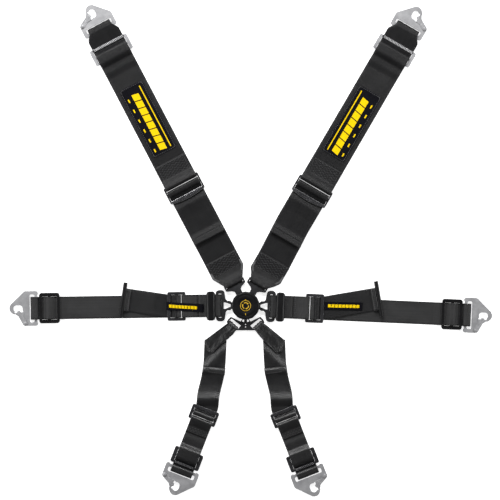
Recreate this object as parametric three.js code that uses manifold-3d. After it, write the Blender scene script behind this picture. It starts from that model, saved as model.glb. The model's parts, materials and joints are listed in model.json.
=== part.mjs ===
// A six-point racing harness laid out flat, face up, in millimetres, +Z up.
// The origin is the middle of the buckle's back face. +Y runs towards the shoulder
// hooks and +X to the right of somebody looking down at the turn knob.
//
// Two 3 inch shoulder belts, two 2 inch lap belts and two 2 inch crotch straps meet in
// one cam-lock buckle. Each belt is built along its own +X axis, outwards from the
// buckle, and a turned group then lays it in place.

import * as THREE from 'three';
import { mergeVertices } from 'three/addons/utils/BufferGeometryUtils.js';
import Module from 'manifold-3d';

const wasm = await Module();
wasm.setup();

// ---------------------------------------------------------------- driving dimensions

const GAP = 0.3; // clearance between neighbouring pieces

// webbing
const WEB = 1.8; // thickness of one layer
const SHOULDER_WIDTH = 76;
const LAP_WIDTH = 50;
const CROTCH_WIDTH = 49;
const LAYER_1 = GAP + WEB / 2; // height of the middle of the layer on the floor
const LAYER_STEP = WEB + GAP;
const LAYER_2 = LAYER_1 + LAYER_STEP;

// flat steel hardware
const PLATE = 3; // thickness
const BAR_HALF = 3.2; // half the width of a bar that webbing wraps round
const BAR_Z = 6; // height of the bars of adjusters, slides and hooks
const TONGUE_Z = 7; // height of the tongues, set by the buckle's slots
const LOOP = 4.8; // radius of a webbing loop round a bar, at the middle of the webbing
const OVER_BAR = BAR_Z + PLATE / 2 + GAP + WEB / 2; // height of webbing lying on a bar

// buckle
const CASING_R = 30;
const CASING_WALL = 3.5;
const CASING_FROM = 2.8;
const CASING_TO = 16.6;
const CASING_ROOF = 3;
const KNOB_R = 30.8;
const KNOB_FROM = 17;
const KNOB_TO = 29;
const KNOB_WALL = 3;
const PLUNGER_ORBIT = 18; // distance of each locking plunger from the centre
const PLUNGER_R = 2.5;
const KNOB_TURN = 30; // degrees, clockwise, to release
const PLUNGER_LIFT = 3;
const BLADE_HALF = 7.5; // half the width of a tongue's blade
const BLADE_FROM = 12; // distance of a blade's tip from the centre

// directions of the belts, degrees anticlockwise from +X
const LEFT_SHOULDER = 117.7;
const RIGHT_SHOULDER = 59.7;
const LEFT_LAP = 180.8;
const RIGHT_LAP = -2.5;
const CROTCH = -90;
const BLADE_ANGLES = [LEFT_SHOULDER, RIGHT_SHOULDER, LEFT_LAP, RIGHT_LAP, CROTCH];
const SCREW_ANGLES = [149.2, 315];

// distances from the buckle's centre along each belt
const SHOULDER_BAR = 56; // the tongue's bar
const SHOULDER_RETURN = 120; // end of the layer folded back from the tongue
const SHOULDER_TAIL = 168; // hem of the pull tail
const SHOULDER_ADJUSTER = 271;
const SHOULDER_OVERLAP = 361; // end of the upper belt's folded layer
const LEFT_SHOULDER_SLIDE = 617;
const RIGHT_SHOULDER_SLIDE = 631;
const SLIDE_TO_HOOK = 69; // from the slide's inner edge to the hook's bar

const LAP_BAR = 62.5;
const LAP_ADJUSTER = 132;
const LEFT_LAP_SLIDE = 409;
const RIGHT_LAP_SLIDE = 432;
const LAP_SLIDE_TO_HOOK = 52.5;
const GRIP_R = 4.6;
const GRIP_LENGTH = 78;
const GRIP_Z = WEB + 2 * GAP + GRIP_R;
const LEFT_GRIP = 260; // outer end of each pull tail
const RIGHT_GRIP = 292;
const LEFT_TAIL_TILT = 9; // degrees between the pull tail and the belt under it
const RIGHT_TAIL_TILT = 12;

// crotch straps, written for the right one, the left one being its mirror image
const CROTCH_BAR = { x: 28.5, y: -45, angle: -48 };
const CROTCH_ADJUSTER = { left: { x: 92, y: -242 }, right: { x: 88, y: -245 } };
const CROTCH_LEAN = { left: 0, right: -3.5 }; // sideways shift of the upper strap
const CROTCH_HEADING = -68.6; // direction of the straight lower strap
const CROTCH_SLIDE_FROM = 84; // from the adjuster's middle to the slide's inner edge
const CROTCH_TO_HOOK = 128.8;
const CROTCH_LOOP_WIDTH = 25;

// ---------------------------------------------------------------- finishes

const finish = (color, roughness, metalness) =>
  new THREE.MeshStandardMaterial({ color, roughness, metalness });
const WEBBING = finish(0x1c1c1d, 0.75, 0);
const BLACK_STEEL = finish(0x1d1e20, 0.45, 0.8);
const ZINC_STEEL = finish(0xb9bbbd, 0.42, 0.9);
const BLACK_PLASTIC = finish(0x121213, 0.4, 0);
const BARE_STEEL = finish(0x8d8f92, 0.35, 0.95);

// ---------------------------------------------------------------- solid tools

function toManifold(geometry) {
  const bare = geometry.clone();
  bare.deleteAttribute('normal');
  bare.deleteAttribute('uv');
  const welded = mergeVertices(bare, 1e-4);
  const mesh = new wasm.Mesh({
    numProp: 3,
    vertProperties: new Float32Array(welded.attributes.position.array),
    triVerts: new Uint32Array(welded.index.array),
  });
  return new wasm.Manifold(mesh);
}

function toGeometry(manifold) {
  const mesh = manifold.getMesh();
  const geometry = new THREE.BufferGeometry();
  const positions = new Float32Array(mesh.vertProperties);
  geometry.setAttribute('position', new THREE.BufferAttribute(positions, 3));
  geometry.setIndex(new THREE.BufferAttribute(new Uint32Array(mesh.triVerts), 1));
  geometry.computeVertexNormals();
  return geometry;
}

function join(...pieces) {
  return toGeometry(pieces.map(toManifold).reduce((sum, piece) => sum.add(piece)));
}

function cut(body, ...tools) {
  const cutter = (left, tool) => left.subtract(toManifold(tool));
  return toGeometry(tools.reduce(cutter, toManifold(body)));
}

function common(a, b) {
  return toGeometry(toManifold(a).intersect(toManifold(b)));
}

const radians = THREE.MathUtils.degToRad;
const at = (x, y) => new THREE.Vector2(x, y);

function polar(radius, degrees) {
  return at(radius * Math.cos(radians(degrees)), radius * Math.sin(radians(degrees)));
}

/** A flat outline raised from z = from to z = to. */
function slab(shape, from, to) {
  const options = { depth: to - from, bevelEnabled: false, curveSegments: 6 };
  return new THREE.ExtrudeGeometry(shape, options).translate(0, 0, from);
}

function box(x0, x1, y0, y1, z0, z1) {
  const geometry = new THREE.BoxGeometry(x1 - x0, y1 - y0, z1 - z0);
  return geometry.translate((x0 + x1) / 2, (y0 + y1) / 2, (z0 + z1) / 2);
}

function disc(radius, from, to, centre = at(0, 0), segments = 16) {
  const geometry = new THREE.CylinderGeometry(radius, radius, to - from, segments);
  geometry.rotateX(Math.PI / 2);
  return geometry.translate(centre.x, centre.y, (from + to) / 2);
}

/** A profile of [radius, z] points turned round the Z axis. */
function turned(profile, segments) {
  const points = profile.map(([radius, z]) => at(radius, z));
  return new THREE.LatheGeometry(points, segments).rotateX(Math.PI / 2);
}

/** Points of an arc; the last angle may be smaller, which runs it clockwise. */
function arc(x, y, radius, from, to, steps = 8) {
  const points = [];
  for (let i = 0; i <= steps; i += 1) {
    points.push(polar(radius, from + ((to - from) * i) / steps).add(at(x, y)));
  }
  return points;
}

/** A polyline shifted sideways, to its left for a positive distance. */
function shifted(path, distance) {
  const normal = (a, b) => b.clone().sub(a).normalize().rotateAround(at(0, 0), Math.PI / 2);
  return path.map((point, i) => {
    const before = i > 0 ? normal(path[i - 1], point) : normal(point, path[i + 1]);
    const after = i < path.length - 1 ? normal(point, path[i + 1]) : before;
    const mitre = before.clone().add(after).divideScalar(1 + before.dot(after));
    return point.clone().addScaledVector(mitre, distance);
  });
}

/** Webbing of one width whose middle line is a path of (x, z) points seen from the side. */
function ribbon(path, width) {
  const outline = [...shifted(path, WEB / 2), ...shifted(path, -WEB / 2).reverse()];
  const options = { depth: width, bevelEnabled: false };
  const geometry = new THREE.ExtrudeGeometry(new THREE.Shape(outline), options);
  return geometry.rotateX(Math.PI / 2).translate(0, width / 2, 0);
}

/** A group turned to point its +X axis in a direction, at a place on the floor plane. */
function frameAt(x, y, degrees) {
  const group = new THREE.Group();
  group.position.set(x, y, 0);
  group.rotation.z = radians(degrees);
  return group;
}

function addPiece(group, name, geometry, material) {
  const mesh = new THREE.Mesh(geometry, material);
  mesh.name = name;
  group.add(mesh);
}

// ---------------------------------------------------------------- buckle

/** The slot in the casing's side that one tongue's blade goes through. */
function bladeSlot(degrees) {
  const half = BLADE_HALF + 0.6;
  const low = TONGUE_Z - PLATE / 2 - 0.5;
  const high = TONGUE_Z + PLATE / 2 + 0.5;
  return box(20, CASING_R + 2, -half, half, low, high).rotateZ(radians(degrees));
}

function buckleCasing() {
  const roof = CASING_TO - CASING_ROOF;
  const shell = disc(CASING_R, CASING_FROM, CASING_TO, at(0, 0), 48);
  const cavity = disc(CASING_R - CASING_WALL, CASING_FROM - 1, roof, at(0, 0), 36);
  const guides = BLADE_ANGLES.map((degrees) =>
    disc(PLUNGER_R + GAP, roof - 1, CASING_TO + 1, polar(PLUNGER_ORBIT, degrees), 12));
  const screwHoles = SCREW_ANGLES.map((degrees) =>
    disc(1.5, CASING_FROM - 1, 9.6, polar(28, degrees), 8));
  const spindleHole = disc(4.4, roof - 1, CASING_TO + 1);
  const slots = BLADE_ANGLES.map(bladeSlot);
  return cut(shell, cavity, spindleHole, ...guides, ...slots, ...screwHoles);
}

function buckleBase() {
  const plate = disc(CASING_R - 0.2, 0, CASING_FROM - GAP, at(0, 0), 48);
  const holes = SCREW_ANGLES.map((degrees) => disc(1.5, -1, 4, polar(28, degrees), 8));
  return cut(plate, ...holes);
}

/** A headless screw that holds the base plate under the casing. */
function casingScrew(degrees) {
  return disc(1.2, 0.2, 9.2, polar(28, degrees), 8);
}

function turnKnob() {
  const chamfer = 2.2;
  const dish = 15; // radius of the shallow dish in the top
  const cavityTop = KNOB_TO - 2.5;
  return turned([
    [0, cavityTop],
    [KNOB_R - KNOB_WALL, cavityTop],
    [KNOB_R - KNOB_WALL, KNOB_FROM],
    [KNOB_R - 0.8, KNOB_FROM],
    [KNOB_R, KNOB_FROM + 1.2],
    [KNOB_R, KNOB_TO - chamfer],
    [KNOB_R - chamfer, KNOB_TO],
    [dish + 0.5, KNOB_TO],
    [dish, KNOB_TO - 0.6],
    [0, KNOB_TO - 0.6],
  ], 48);
}

/** A curved slot round the centre that lets the knob turn past one plunger. */
function plungerTrack(degrees) {
  const half = PLUNGER_R + 0.5;
  const inner = PLUNGER_ORBIT - half;
  const outer = PLUNGER_ORBIT + half;
  const end = degrees + KNOB_TURN;
  const middle = polar(PLUNGER_ORBIT, degrees);
  const middleEnd = polar(PLUNGER_ORBIT, end);
  const outline = [
    ...arc(0, 0, outer, degrees, end, 4),
    ...arc(middleEnd.x, middleEnd.y, half, end, end + 180, 4),
    ...arc(0, 0, inner, end, degrees, 4),
    ...arc(middle.x, middle.y, half, degrees + 180, degrees + 360, 4),
  ];
  return slab(new THREE.Shape(outline), 17, 22);
}

function releaseCam() {
  const plate = disc(KNOB_R - KNOB_WALL - GAP, 18.4, 20.4, at(0, 0), 40);
  const bore = disc(4.4, 17, 22);
  return cut(plate, bore, ...BLADE_ANGLES.map(plungerTrack));
}

/** Five locking pins on one lift ring; each drops into the window of one tongue's blade. */
function lockingPinRing() {
  const tip = TONGUE_Z + PLATE / 2 + GAP;
  const pins = BLADE_ANGLES.map((degrees) =>
    disc(PLUNGER_R, tip, 21, polar(PLUNGER_ORBIT, degrees), 12));
  const ring = disc(PLUNGER_ORBIT + 4, 20.7, 22.2, at(0, 0), 36);
  const bore = disc(PLUNGER_ORBIT - 4, 20, 23, at(0, 0), 36);
  return join(cut(ring, bore), ...pins);
}

/** The hollow centre post that the knob turns on, with a flange over the cam. */
function centreSpindle() {
  return turned([
    [0, CASING_FROM],
    [6, CASING_FROM],
    [6, 4],
    [3.9, 4],
    [3.9, 20.8],
    [7.5, 20.8],
    [7.5, 22.4],
    [0, 22.4],
  ], 20);
}

/** Torsion spring round the spindle that turns the knob back. */
function knobSpring() {
  const radius = 7;
  const turns = 3;
  const pitch = 2.2;
  const steps = turns * 12;
  const points = [];
  for (let i = 0; i <= steps; i += 1) {
    const place = polar(radius, (360 * turns * i) / steps);
    points.push(new THREE.Vector3(place.x, place.y, 5.4 + (pitch * turns * i) / steps));
  }
  const wire = new THREE.Shape(arc(0, 0, 0.8, 0, 300, 5));
  const path = new THREE.CatmullRomCurve3(points);
  return new THREE.ExtrudeGeometry(wire, { steps, extrudePath: path, bevelEnabled: false });
}

const harness = new THREE.Group();

addPiece(harness, 'buckle_base_plate', buckleBase(), BLACK_STEEL);
addPiece(harness, 'buckle_casing', buckleCasing(), BLACK_STEEL);
SCREW_ANGLES.forEach((degrees, i) => {
  addPiece(harness, `casing_screw_${i + 1}`, casingScrew(degrees), BARE_STEEL);
});
addPiece(harness, 'centre_spindle', centreSpindle(), BARE_STEEL);
addPiece(harness, 'knob_return_spring', knobSpring(), BARE_STEEL);
addPiece(harness, 'locking_pin_ring', lockingPinRing(), BARE_STEEL);
addPiece(harness, 'release_cam', releaseCam(), BARE_STEEL);
addPiece(harness, 'turn_knob', turnKnob(), BLACK_PLASTIC);

// ---------------------------------------------------------------- flat hardware

const TONGUE_LOW = TONGUE_Z - PLATE / 2;
const TONGUE_HIGH = TONGUE_Z + PLATE / 2;
const BAR_LOW = BAR_Z - PLATE / 2;
const BAR_HIGH = BAR_Z + PLATE / 2;

function polygon(points) {
  return new THREE.Shape(points.map(([x, y]) => at(x, y)));
}

/** Both halves of an outline symmetric about +X, from its upper half, inner end first. */
function mirrored(upper) {
  return [...upper, ...upper.map(([x, y]) => [x, -y]).reverse()];
}

function roundedRect(x0, x1, y0, y1, radius, steps = 2) {
  return new THREE.Shape([
    ...arc(x1 - radius, y1 - radius, radius, 0, 90, steps),
    ...arc(x0 + radius, y1 - radius, radius, 90, 180, steps),
    ...arc(x0 + radius, y0 + radius, radius, 180, 270, steps),
    ...arc(x1 - radius, y0 + radius, radius, 270, 360, steps),
  ]);
}

function lockWindow() {
  return disc(PLUNGER_R + 0.7, TONGUE_LOW - 1, TONGUE_HIGH + 1, at(PLUNGER_ORBIT, 0), 12);
}

/** The slot beside a tongue's bar, on its buckle side. */
function webbingSlot(bar, half, depth) {
  const shape = roundedRect(bar - BAR_HALF - depth, bar - BAR_HALF, -half, half, 1.2);
  return slab(shape, TONGUE_LOW - 1, TONGUE_HIGH + 1);
}

function shoulderTongue() {
  const half = 24;
  const outer = SHOULDER_BAR + BAR_HALF;
  const outline = mirrored([
    [BLADE_FROM, 5],
    [BLADE_FROM + 2.5, BLADE_HALF],
    [37, BLADE_HALF],
    [41, 12],
    [45, half - 2],
    [47, half],
    [outer - 2, half],
    [outer, half - 2],
  ]);
  const plate = slab(polygon(outline), TONGUE_LOW, TONGUE_HIGH);
  return cut(plate, lockWindow(), webbingSlot(SHOULDER_BAR, 20.6, 2.8));
}

function lapTongue() {
  const half = 34.5;
  const corner = 8;
  const outer = LAP_BAR + BAR_HALF;
  const innerEnd = arc(45.5 + corner, half - corner, corner, 180, 90, 4);
  const outerEnd = arc(outer - corner, half - corner, corner, 90, 0, 4);
  const outline = mirrored([
    [BLADE_FROM, 5],
    [BLADE_FROM + 2.5, BLADE_HALF],
    [31, BLADE_HALF],
    [34, 10.5],
    [40, 10.5],
    [43.5, 14],
    ...[...innerEnd, ...outerEnd].map(({ x, y }) => [x, y]),
  ]);
  const window = polygon([[33, 2.5], [45, 7], [48, 7], [48, -7], [45, -7], [33, -2.5]].reverse());
  const plate = slab(polygon(outline), TONGUE_LOW, TONGUE_HIGH);
  const opening = slab(window, TONGUE_LOW - 1, TONGUE_HIGH + 1);
  return cut(plate, lockWindow(), opening, webbingSlot(LAP_BAR, 26.4, 6));
}

/** A point of the crotch tongue, given along and across its right-hand bar. */
function besideCrotchBar(outward, along) {
  const centre = at(CROTCH_BAR.x, CROTCH_BAR.y);
  return polar(outward, CROTCH_BAR.angle)
    .add(polar(along, CROTCH_BAR.angle + 90))
    .add(centre);
}

/** One blade that splits into two slanted bars, built blade upwards in world axes. */
function crotchTongue() {
  const end = 17;
  const foot = -55;
  const tip = besideCrotchBar(-12.2, end - 1);
  const corner = besideCrotchBar(-4, end);
  const outer = besideCrotchBar(BAR_HALF, end - 2);
  const inner = besideCrotchBar(BAR_HALF, -9);
  const right = [
    [5, -BLADE_FROM],
    [BLADE_HALF, -BLADE_FROM - 2.5],
    [BLADE_HALF, -30],
    [11, -35.5],
    [tip.x, tip.y],
    [corner.x, corner.y],
    [outer.x, outer.y],
    [inner.x, inner.y],
    [inner.x - 3, foot],
  ];
  const left = right.map(([x, y]) => [-x, y]).reverse();
  const plate = slab(polygon([...right, ...left]), TONGUE_LOW, TONGUE_HIGH);
  const slotEnd = CROTCH_LOOP_WIDTH / 2 + 0.8;
  const slot = [
    besideCrotchBar(-BAR_HALF, slotEnd),
    besideCrotchBar(-BAR_HALF, -slotEnd),
    besideCrotchBar(-12.4, -slotEnd),
    besideCrotchBar(-10.4, slotEnd - 1.5),
  ].map((point) => [point.x, point.y]);
  const notch = [[3.2, -31.4], [3.6, -37], [8, -35.2], [6.4, -31.4]]; // beside the blade's root
  const openings = [slot, notch].flatMap((points) => [points, points.map(([x, y]) => [-x, y])]);
  const through = (points) => slab(polygon(points), TONGUE_LOW - 1, TONGUE_HIGH + 1);
  const window = disc(PLUNGER_R + 0.7, 5, 10, at(0, -PLUNGER_ORBIT), 12);
  const rivets = [-42, -47.5].map((y) => disc(1.3, 5, 10, at(0, y), 10));
  return cut(plate, ...openings.map(through), window, ...rivets);
}

/** A flat frame with cross bars; slots lie between each bar and the next. */
function barPlate({ from, bars, half, slotHalf, corner = 3 }) {
  const last = bars.length - 1;
  const outline = roundedRect(from + bars[0][0], from + bars[last][1], -half, half, corner);
  const plate = slab(outline, BAR_LOW, BAR_HIGH);
  const slots = [];
  for (let i = 0; i < last; i += 1) {
    const slot = roundedRect(from + bars[i][1], from + bars[i + 1][0], -slotHalf, slotHalf, 0.3, 1);
    slots.push(slab(slot, BAR_LOW - 1, BAR_HIGH + 1));
  }
  return cut(plate, ...slots);
}

const SIDE_PLAY = 0.4; // between the webbing's edge and the end of its slot

// cross bars, from and to, measured from the frame's inner edge
const SHOULDER_ADJUSTER_BARS = [[0, 6.4], [16.3, 22.7], [32.6, 39]];
const LAP_ADJUSTER_BARS = [[0, 6.4], [16.8, 23.2], [33.6, 40]];
const CROTCH_ADJUSTER_BARS = [[-16.5, -10.1], [-3.2, 3.2], [10.1, 16.5]];
const SHOULDER_SLIDE_BARS = [[0, 5], [13, 18], [30.5, 36]];
const LAP_SLIDE_BARS = [[0, 6], [19.5, 25.5], [39, 45]];
const CROTCH_SLIDE_BARS = [[0, 5], [15.5, 20.5], [31, 36]];

const middleOf = ([from, to]) => (from + to) / 2;

// ---------------------------------------------------------------- snap hook

const HOOK_HALF = 38.5;
const HOOK_SLOT_HALF = 30.5;
const EYE = { x: 39.2, half: 7, straight: 3 }; // an oblong eye, its ends round
const RIVET = at(23.5, 33);
const GATE_TIP = at(37.5, 9.5);

/** The plate of a snap hook: bar at x = 0, hook towards +X, its mouth on the +Y side. */
function hookPlate() {
  const { x, half, straight } = EYE;
  const outline = new THREE.Shape([
    at(-BAR_HALF, HOOK_SLOT_HALF),
    at(-4.8, HOOK_SLOT_HALF),
    ...arc(-0.8, HOOK_HALF - 4, 4, 180, 90, 2),
    ...arc(RIVET.x, RIVET.y, HOOK_HALF - RIVET.y, 90, 10, 3),
    at(27.5, 14),
    at(28.5, 5.5),
    ...arc(x - straight, 0, half, 150, 270, 6),
    ...arc(x + straight, 0, half, 270, 415, 7),
    at(46.8, 8.2),
    ...arc(47, 10.8, 2.6, 150, 40, 3),
    ...arc(45, -1, 13.5, 60, -35, 5),
    at(29, -34),
    ...arc(22, -HOOK_HALF + 7, 7, -35, -90, 2),
    ...arc(-0.8, -HOOK_HALF + 4, 4, 270, 180, 2),
    at(-4.8, -HOOK_SLOT_HALF),
    at(-BAR_HALF, -HOOK_SLOT_HALF),
  ]);
  const slotShape = roundedRect(BAR_HALF, 13.5, -HOOK_SLOT_HALF, HOOK_SLOT_HALF, 3);
  const slot = slab(slotShape, BAR_LOW - 1, BAR_HIGH + 1);
  const rivetHole = disc(2.8, BAR_LOW - 1, BAR_HIGH + 1, RIVET, 12);
  return cut(slab(outline, BAR_LOW, BAR_HIGH), slot, rivetHole);
}

/** The spring gate that shuts the mouth: two thin leaves joined at their free end. */
function hookGate() {
  const leaf = 1;
  const along = GATE_TIP.clone().sub(RIVET);
  const heading = THREE.MathUtils.radToDeg(Math.atan2(along.y, along.x));
  const outline = new THREE.Shape([
    ...arc(RIVET.x, RIVET.y, 5.2, heading + 90, heading + 270, 6),
    ...arc(GATE_TIP.x, GATE_TIP.y, 4.6, heading - 60, heading + 60, 4),
  ]);
  const upper = slab(outline, BAR_HIGH + GAP, BAR_HIGH + GAP + leaf);
  const lower = slab(outline, BAR_LOW - GAP - leaf, BAR_LOW - GAP);
  const web = disc(1.7, BAR_LOW - GAP - 0.5, BAR_HIGH + GAP + 0.5, at(38.2, 8.8), 10);
  const pivotHole = disc(2.8, 0, 12, RIVET, 12);
  return cut(join(upper, lower, web), pivotHole);
}

function gateRivet() {
  const shank = disc(2.5, 2.6, 9.4, RIVET, 12);
  const heads = [disc(4.2, 1.9, 2.9, RIVET, 12), disc(4.2, 9.1, 10.1, RIVET, 12)];
  return join(shank, ...heads);
}

/** Adds a hook with its gate and rivet; gateSide is +1 or -1 for the side of its mouth. */
function addHook(belt, prefix, x, gateSide) {
  const hook = new THREE.Group();
  hook.position.x = x;
  const flip = (geometry) => (gateSide > 0 ? geometry : geometry.rotateX(Math.PI)
    .translate(0, 0, 2 * BAR_Z));
  addPiece(hook, `${prefix}_hook_plate`, flip(hookPlate()), ZINC_STEEL);
  addPiece(hook, `${prefix}_hook_gate`, flip(hookGate()), ZINC_STEEL);
  addPiece(hook, `${prefix}_gate_rivet`, flip(gateRivet()), ZINC_STEEL);
  belt.add(hook);
}

// ---------------------------------------------------------------- webbing paths

/** Legs and loop round a tongue's bar, from the folded-back layer to the floor layer. */
function tongueLoop(bar, spread, slack = 0) {
  return [
    at(bar + spread, LAYER_2),
    at(bar + 18, LAYER_2 + 2.2),
    at(bar + 8, TONGUE_Z + 3.2),
    ...arc(bar - slack, TONGUE_Z, LOOP, 75, 285, 9),
    at(bar + 12, LAYER_1 + 0.2),
    at(bar + 20, LAYER_1),
  ];
}

/** Loop round an adjuster's bar whose webbing leaves outwards, folded layer first. */
function outwardLoop(bar) {
  return [
    at(bar + 18, LAYER_2),
    at(bar + 8, BAR_Z + 3),
    ...arc(bar, BAR_Z, LOOP, 75, 270, 9),
    at(bar + 10, LAYER_1),
  ];
}

/** The lower of two layers threaded through a slide, over the bars from rise to fall. */
function throughSlide(rise, fall, exit) {
  const run = 8;
  return [
    at(rise - run - 14, LAYER_1),
    at(rise - run, LAYER_1),
    at(rise - 0.5, OVER_BAR),
    at(fall + 0.5, OVER_BAR),
    at(fall + run + 1, LAYER_1),
    at(exit, LAYER_1),
  ];
}

/** Where webbing that comes up from a point first touches its loop, in degrees. */
function touchAngle(point, centre) {
  const away = point.clone().sub(centre);
  const bearing = THREE.MathUtils.radToDeg(Math.atan2(away.y, away.x)) + 360;
  return bearing - THREE.MathUtils.radToDeg(Math.acos(LOOP / away.length()));
}

/** Webbing from a slide out to the hook, round its bar and back under itself. */
function hookLoop(under, hook) {
  const over = shifted(under, LAYER_STEP);
  const slack = 6;
  const touch = touchAngle(over[over.length - 1], at(hook, BAR_Z));
  return [
    at(under[0].x - 14, LAYER_1),
    at(under[0].x - 2, LAYER_2),
    ...over.slice(1),
    ...arc(hook, BAR_Z, LOOP, touch, 90, 3),
    ...arc(hook + slack, BAR_Z, LOOP, 90, -90, 7),
    ...under.slice().reverse(),
  ];
}

// ---------------------------------------------------------------- shoulder belts

function shoulderLowerWebbing() {
  const [inner, middle] = SHOULDER_ADJUSTER_BARS.map((bar) => SHOULDER_ADJUSTER + middleOf(bar));
  const slack = 4;
  const path = [
    at(SHOULDER_RETURN, LAYER_2),
    ...tongueLoop(SHOULDER_BAR, 30),
    ...arc(middle + slack, BAR_Z, LOOP, -90, 90, 7),
    ...arc(middle, BAR_Z, LOOP, 90, 165, 4),
    at(inner + 5.6, LAYER_2),
    at(SHOULDER_TAIL, LAYER_2),
  ];
  const plan = polygon(mirrored([
    [SHOULDER_BAR - 10, 19.5],
    [SHOULDER_BAR - 3, 19.5],
    [SHOULDER_BAR + 27, SHOULDER_WIDTH / 2],
    [middle + 10, SHOULDER_WIDTH / 2],
  ]));
  return common(ribbon(path, SHOULDER_WIDTH + 2), slab(plan, -1, 20));
}

function shoulderUpperWebbing(slide) {
  const bar = SHOULDER_ADJUSTER + middleOf(SHOULDER_ADJUSTER_BARS[2]);
  const hook = slide + SLIDE_TO_HOOK;
  const exit = slide + SHOULDER_SLIDE_BARS[2][1] + 1.5;
  const under = throughSlide(slide - 1, slide + SHOULDER_SLIDE_BARS[1][1], exit);
  const path = [
    at(SHOULDER_OVERLAP, LAYER_2),
    ...outwardLoop(bar),
    ...hookLoop(under, hook),
  ];
  const plan = polygon(mirrored([
    [bar - 10, SHOULDER_WIDTH / 2],
    [hook - 25, SHOULDER_WIDTH / 2],
    [hook - 5, 27.5],
    [hook + 12.5, 27.5],
  ]));
  return common(ribbon(path, SHOULDER_WIDTH + 2), slab(plan, -1, 20));
}

function addShoulderBelt(side, direction, slide, gateSide) {
  const belt = frameAt(0, 0, direction);
  const prefix = `${side}_shoulder`;
  const frame = { half: 42, slotHalf: SHOULDER_WIDTH / 2 + SIDE_PLAY };
  const adjuster = { from: SHOULDER_ADJUSTER, bars: SHOULDER_ADJUSTER_BARS, ...frame };
  const slideFrame = { from: slide, bars: SHOULDER_SLIDE_BARS, ...frame, half: 45.5 };
  addPiece(belt, `${prefix}_tongue`, shoulderTongue(), BLACK_STEEL);
  addPiece(belt, `${prefix}_lower_webbing`, shoulderLowerWebbing(), WEBBING);
  addPiece(belt, `${prefix}_adjuster`, barPlate(adjuster), BLACK_STEEL);
  addPiece(belt, `${prefix}_upper_webbing`, shoulderUpperWebbing(slide), WEBBING);
  addPiece(belt, `${prefix}_slide`, barPlate(slideFrame), ZINC_STEEL);
  addHook(belt, prefix, slide + SLIDE_TO_HOOK, gateSide);
  harness.add(belt);
}

addShoulderBelt('left', LEFT_SHOULDER, LEFT_SHOULDER_SLIDE, 1);
addShoulderBelt('right', RIGHT_SHOULDER, RIGHT_SHOULDER_SLIDE, -1);

// ---------------------------------------------------------------- lap belts

/** A short band sewn into a loop at each end: one on the tongue, one on the adjuster. */
function lapInnerWebbing() {
  const bar = LAP_ADJUSTER + middleOf(LAP_ADJUSTER_BARS[0]);
  const path = [
    at(LAP_BAR + 41, LAYER_2),
    ...tongueLoop(LAP_BAR, 28, 2.8),
    at(bar - 12, LAYER_1),
    ...arc(bar, BAR_Z, LOOP, -90, 105, 9),
    at(bar - 9, BAR_Z + 2.6),
    at(bar - 20, LAYER_2),
    at(LAP_BAR + 43, LAYER_2),
  ];
  return ribbon(path, LAP_WIDTH);
}

/** The belt from the adjuster to the hook, and the pull tail lying on it at a slant. */
function lapOuterWebbing(slide, grip, tilt) {
  const bars = LAP_ADJUSTER_BARS.map((bar) => LAP_ADJUSTER + middleOf(bar));
  const [rise, fall] = LAP_SLIDE_BARS[1].map((edge) => slide + edge);
  const under = throughSlide(rise, fall, slide + LAP_SLIDE_BARS[2][1] + 1.6);
  const slack = 4.5;
  const beltPath = [
    at(bars[1] + 1, OVER_BAR + 0.3),
    ...arc(bars[1] - slack, BAR_Z, LOOP, 90, 270, 8),
    at(bars[1] + 8, LAYER_1),
    ...hookLoop(under, slide + LAP_SLIDE_TO_HOOK),
  ];
  const tailPath = [
    ...arc(bars[1], BAR_Z, LOOP, 100, 15, 6),
    at(bars[2] - 5.6, LAYER_2),
    at(grip - 16, LAYER_2),
    at(grip - 4, GRIP_Z - 1),
    at(grip, GRIP_Z - 1),
  ];
  const half = LAP_WIDTH / 2;
  const start = bars[2] - 6;
  const drift = Math.tan(radians(tilt)) * (grip - start);
  const plan = polygon([
    [bars[1] - 4, -half],
    [start, -half],
    [grip, drift - half],
    [grip - 2 * half * Math.sin(radians(tilt)), drift + half],
    [start, half],
    [bars[1] - 4, half],
  ]);
  const tail = common(ribbon(tailPath, 3 * LAP_WIDTH), slab(plan, -1, 20));
  return join(ribbon(beltPath, LAP_WIDTH), tail);
}

/** The black rod sewn into the end of the pull tail. */
function gripBar(grip, tilt) {
  const start = LAP_ADJUSTER + middleOf(LAP_ADJUSTER_BARS[2]) - 6;
  const drift = Math.tan(radians(tilt)) * (grip - start);
  const rod = new THREE.CylinderGeometry(GRIP_R, GRIP_R, GRIP_LENGTH, 16);
  rod.rotateZ(radians(tilt));
  const slant = (LAP_WIDTH / 2) * Math.sin(radians(tilt));
  return rod.translate(grip + GRIP_R + 2 * GAP - slant, drift, GRIP_Z);
}

/** The stop bar on the belt next to the tongue, round-ended and D-shaped in section. */
function stopBar() {
  const section = new THREE.Shape([
    at(LAP_BAR + 4.2, 12),
    at(LAP_BAR + 23.5, 12),
    ...arc(LAP_BAR + 18.5, 14.5, 5, -20, 80, 3),
    ...arc(LAP_BAR + 9, 14.5, 5, 100, 200, 3),
  ]);
  const length = 64;
  const bar = new THREE.ExtrudeGeometry(section, { depth: length, bevelEnabled: false });
  bar.rotateX(Math.PI / 2).translate(0, length / 2, 0);
  const from = LAP_BAR + 4;
  return common(bar, slab(roundedRect(from, from + 19.5, -32, 32, 6), 0, 30));
}

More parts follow.
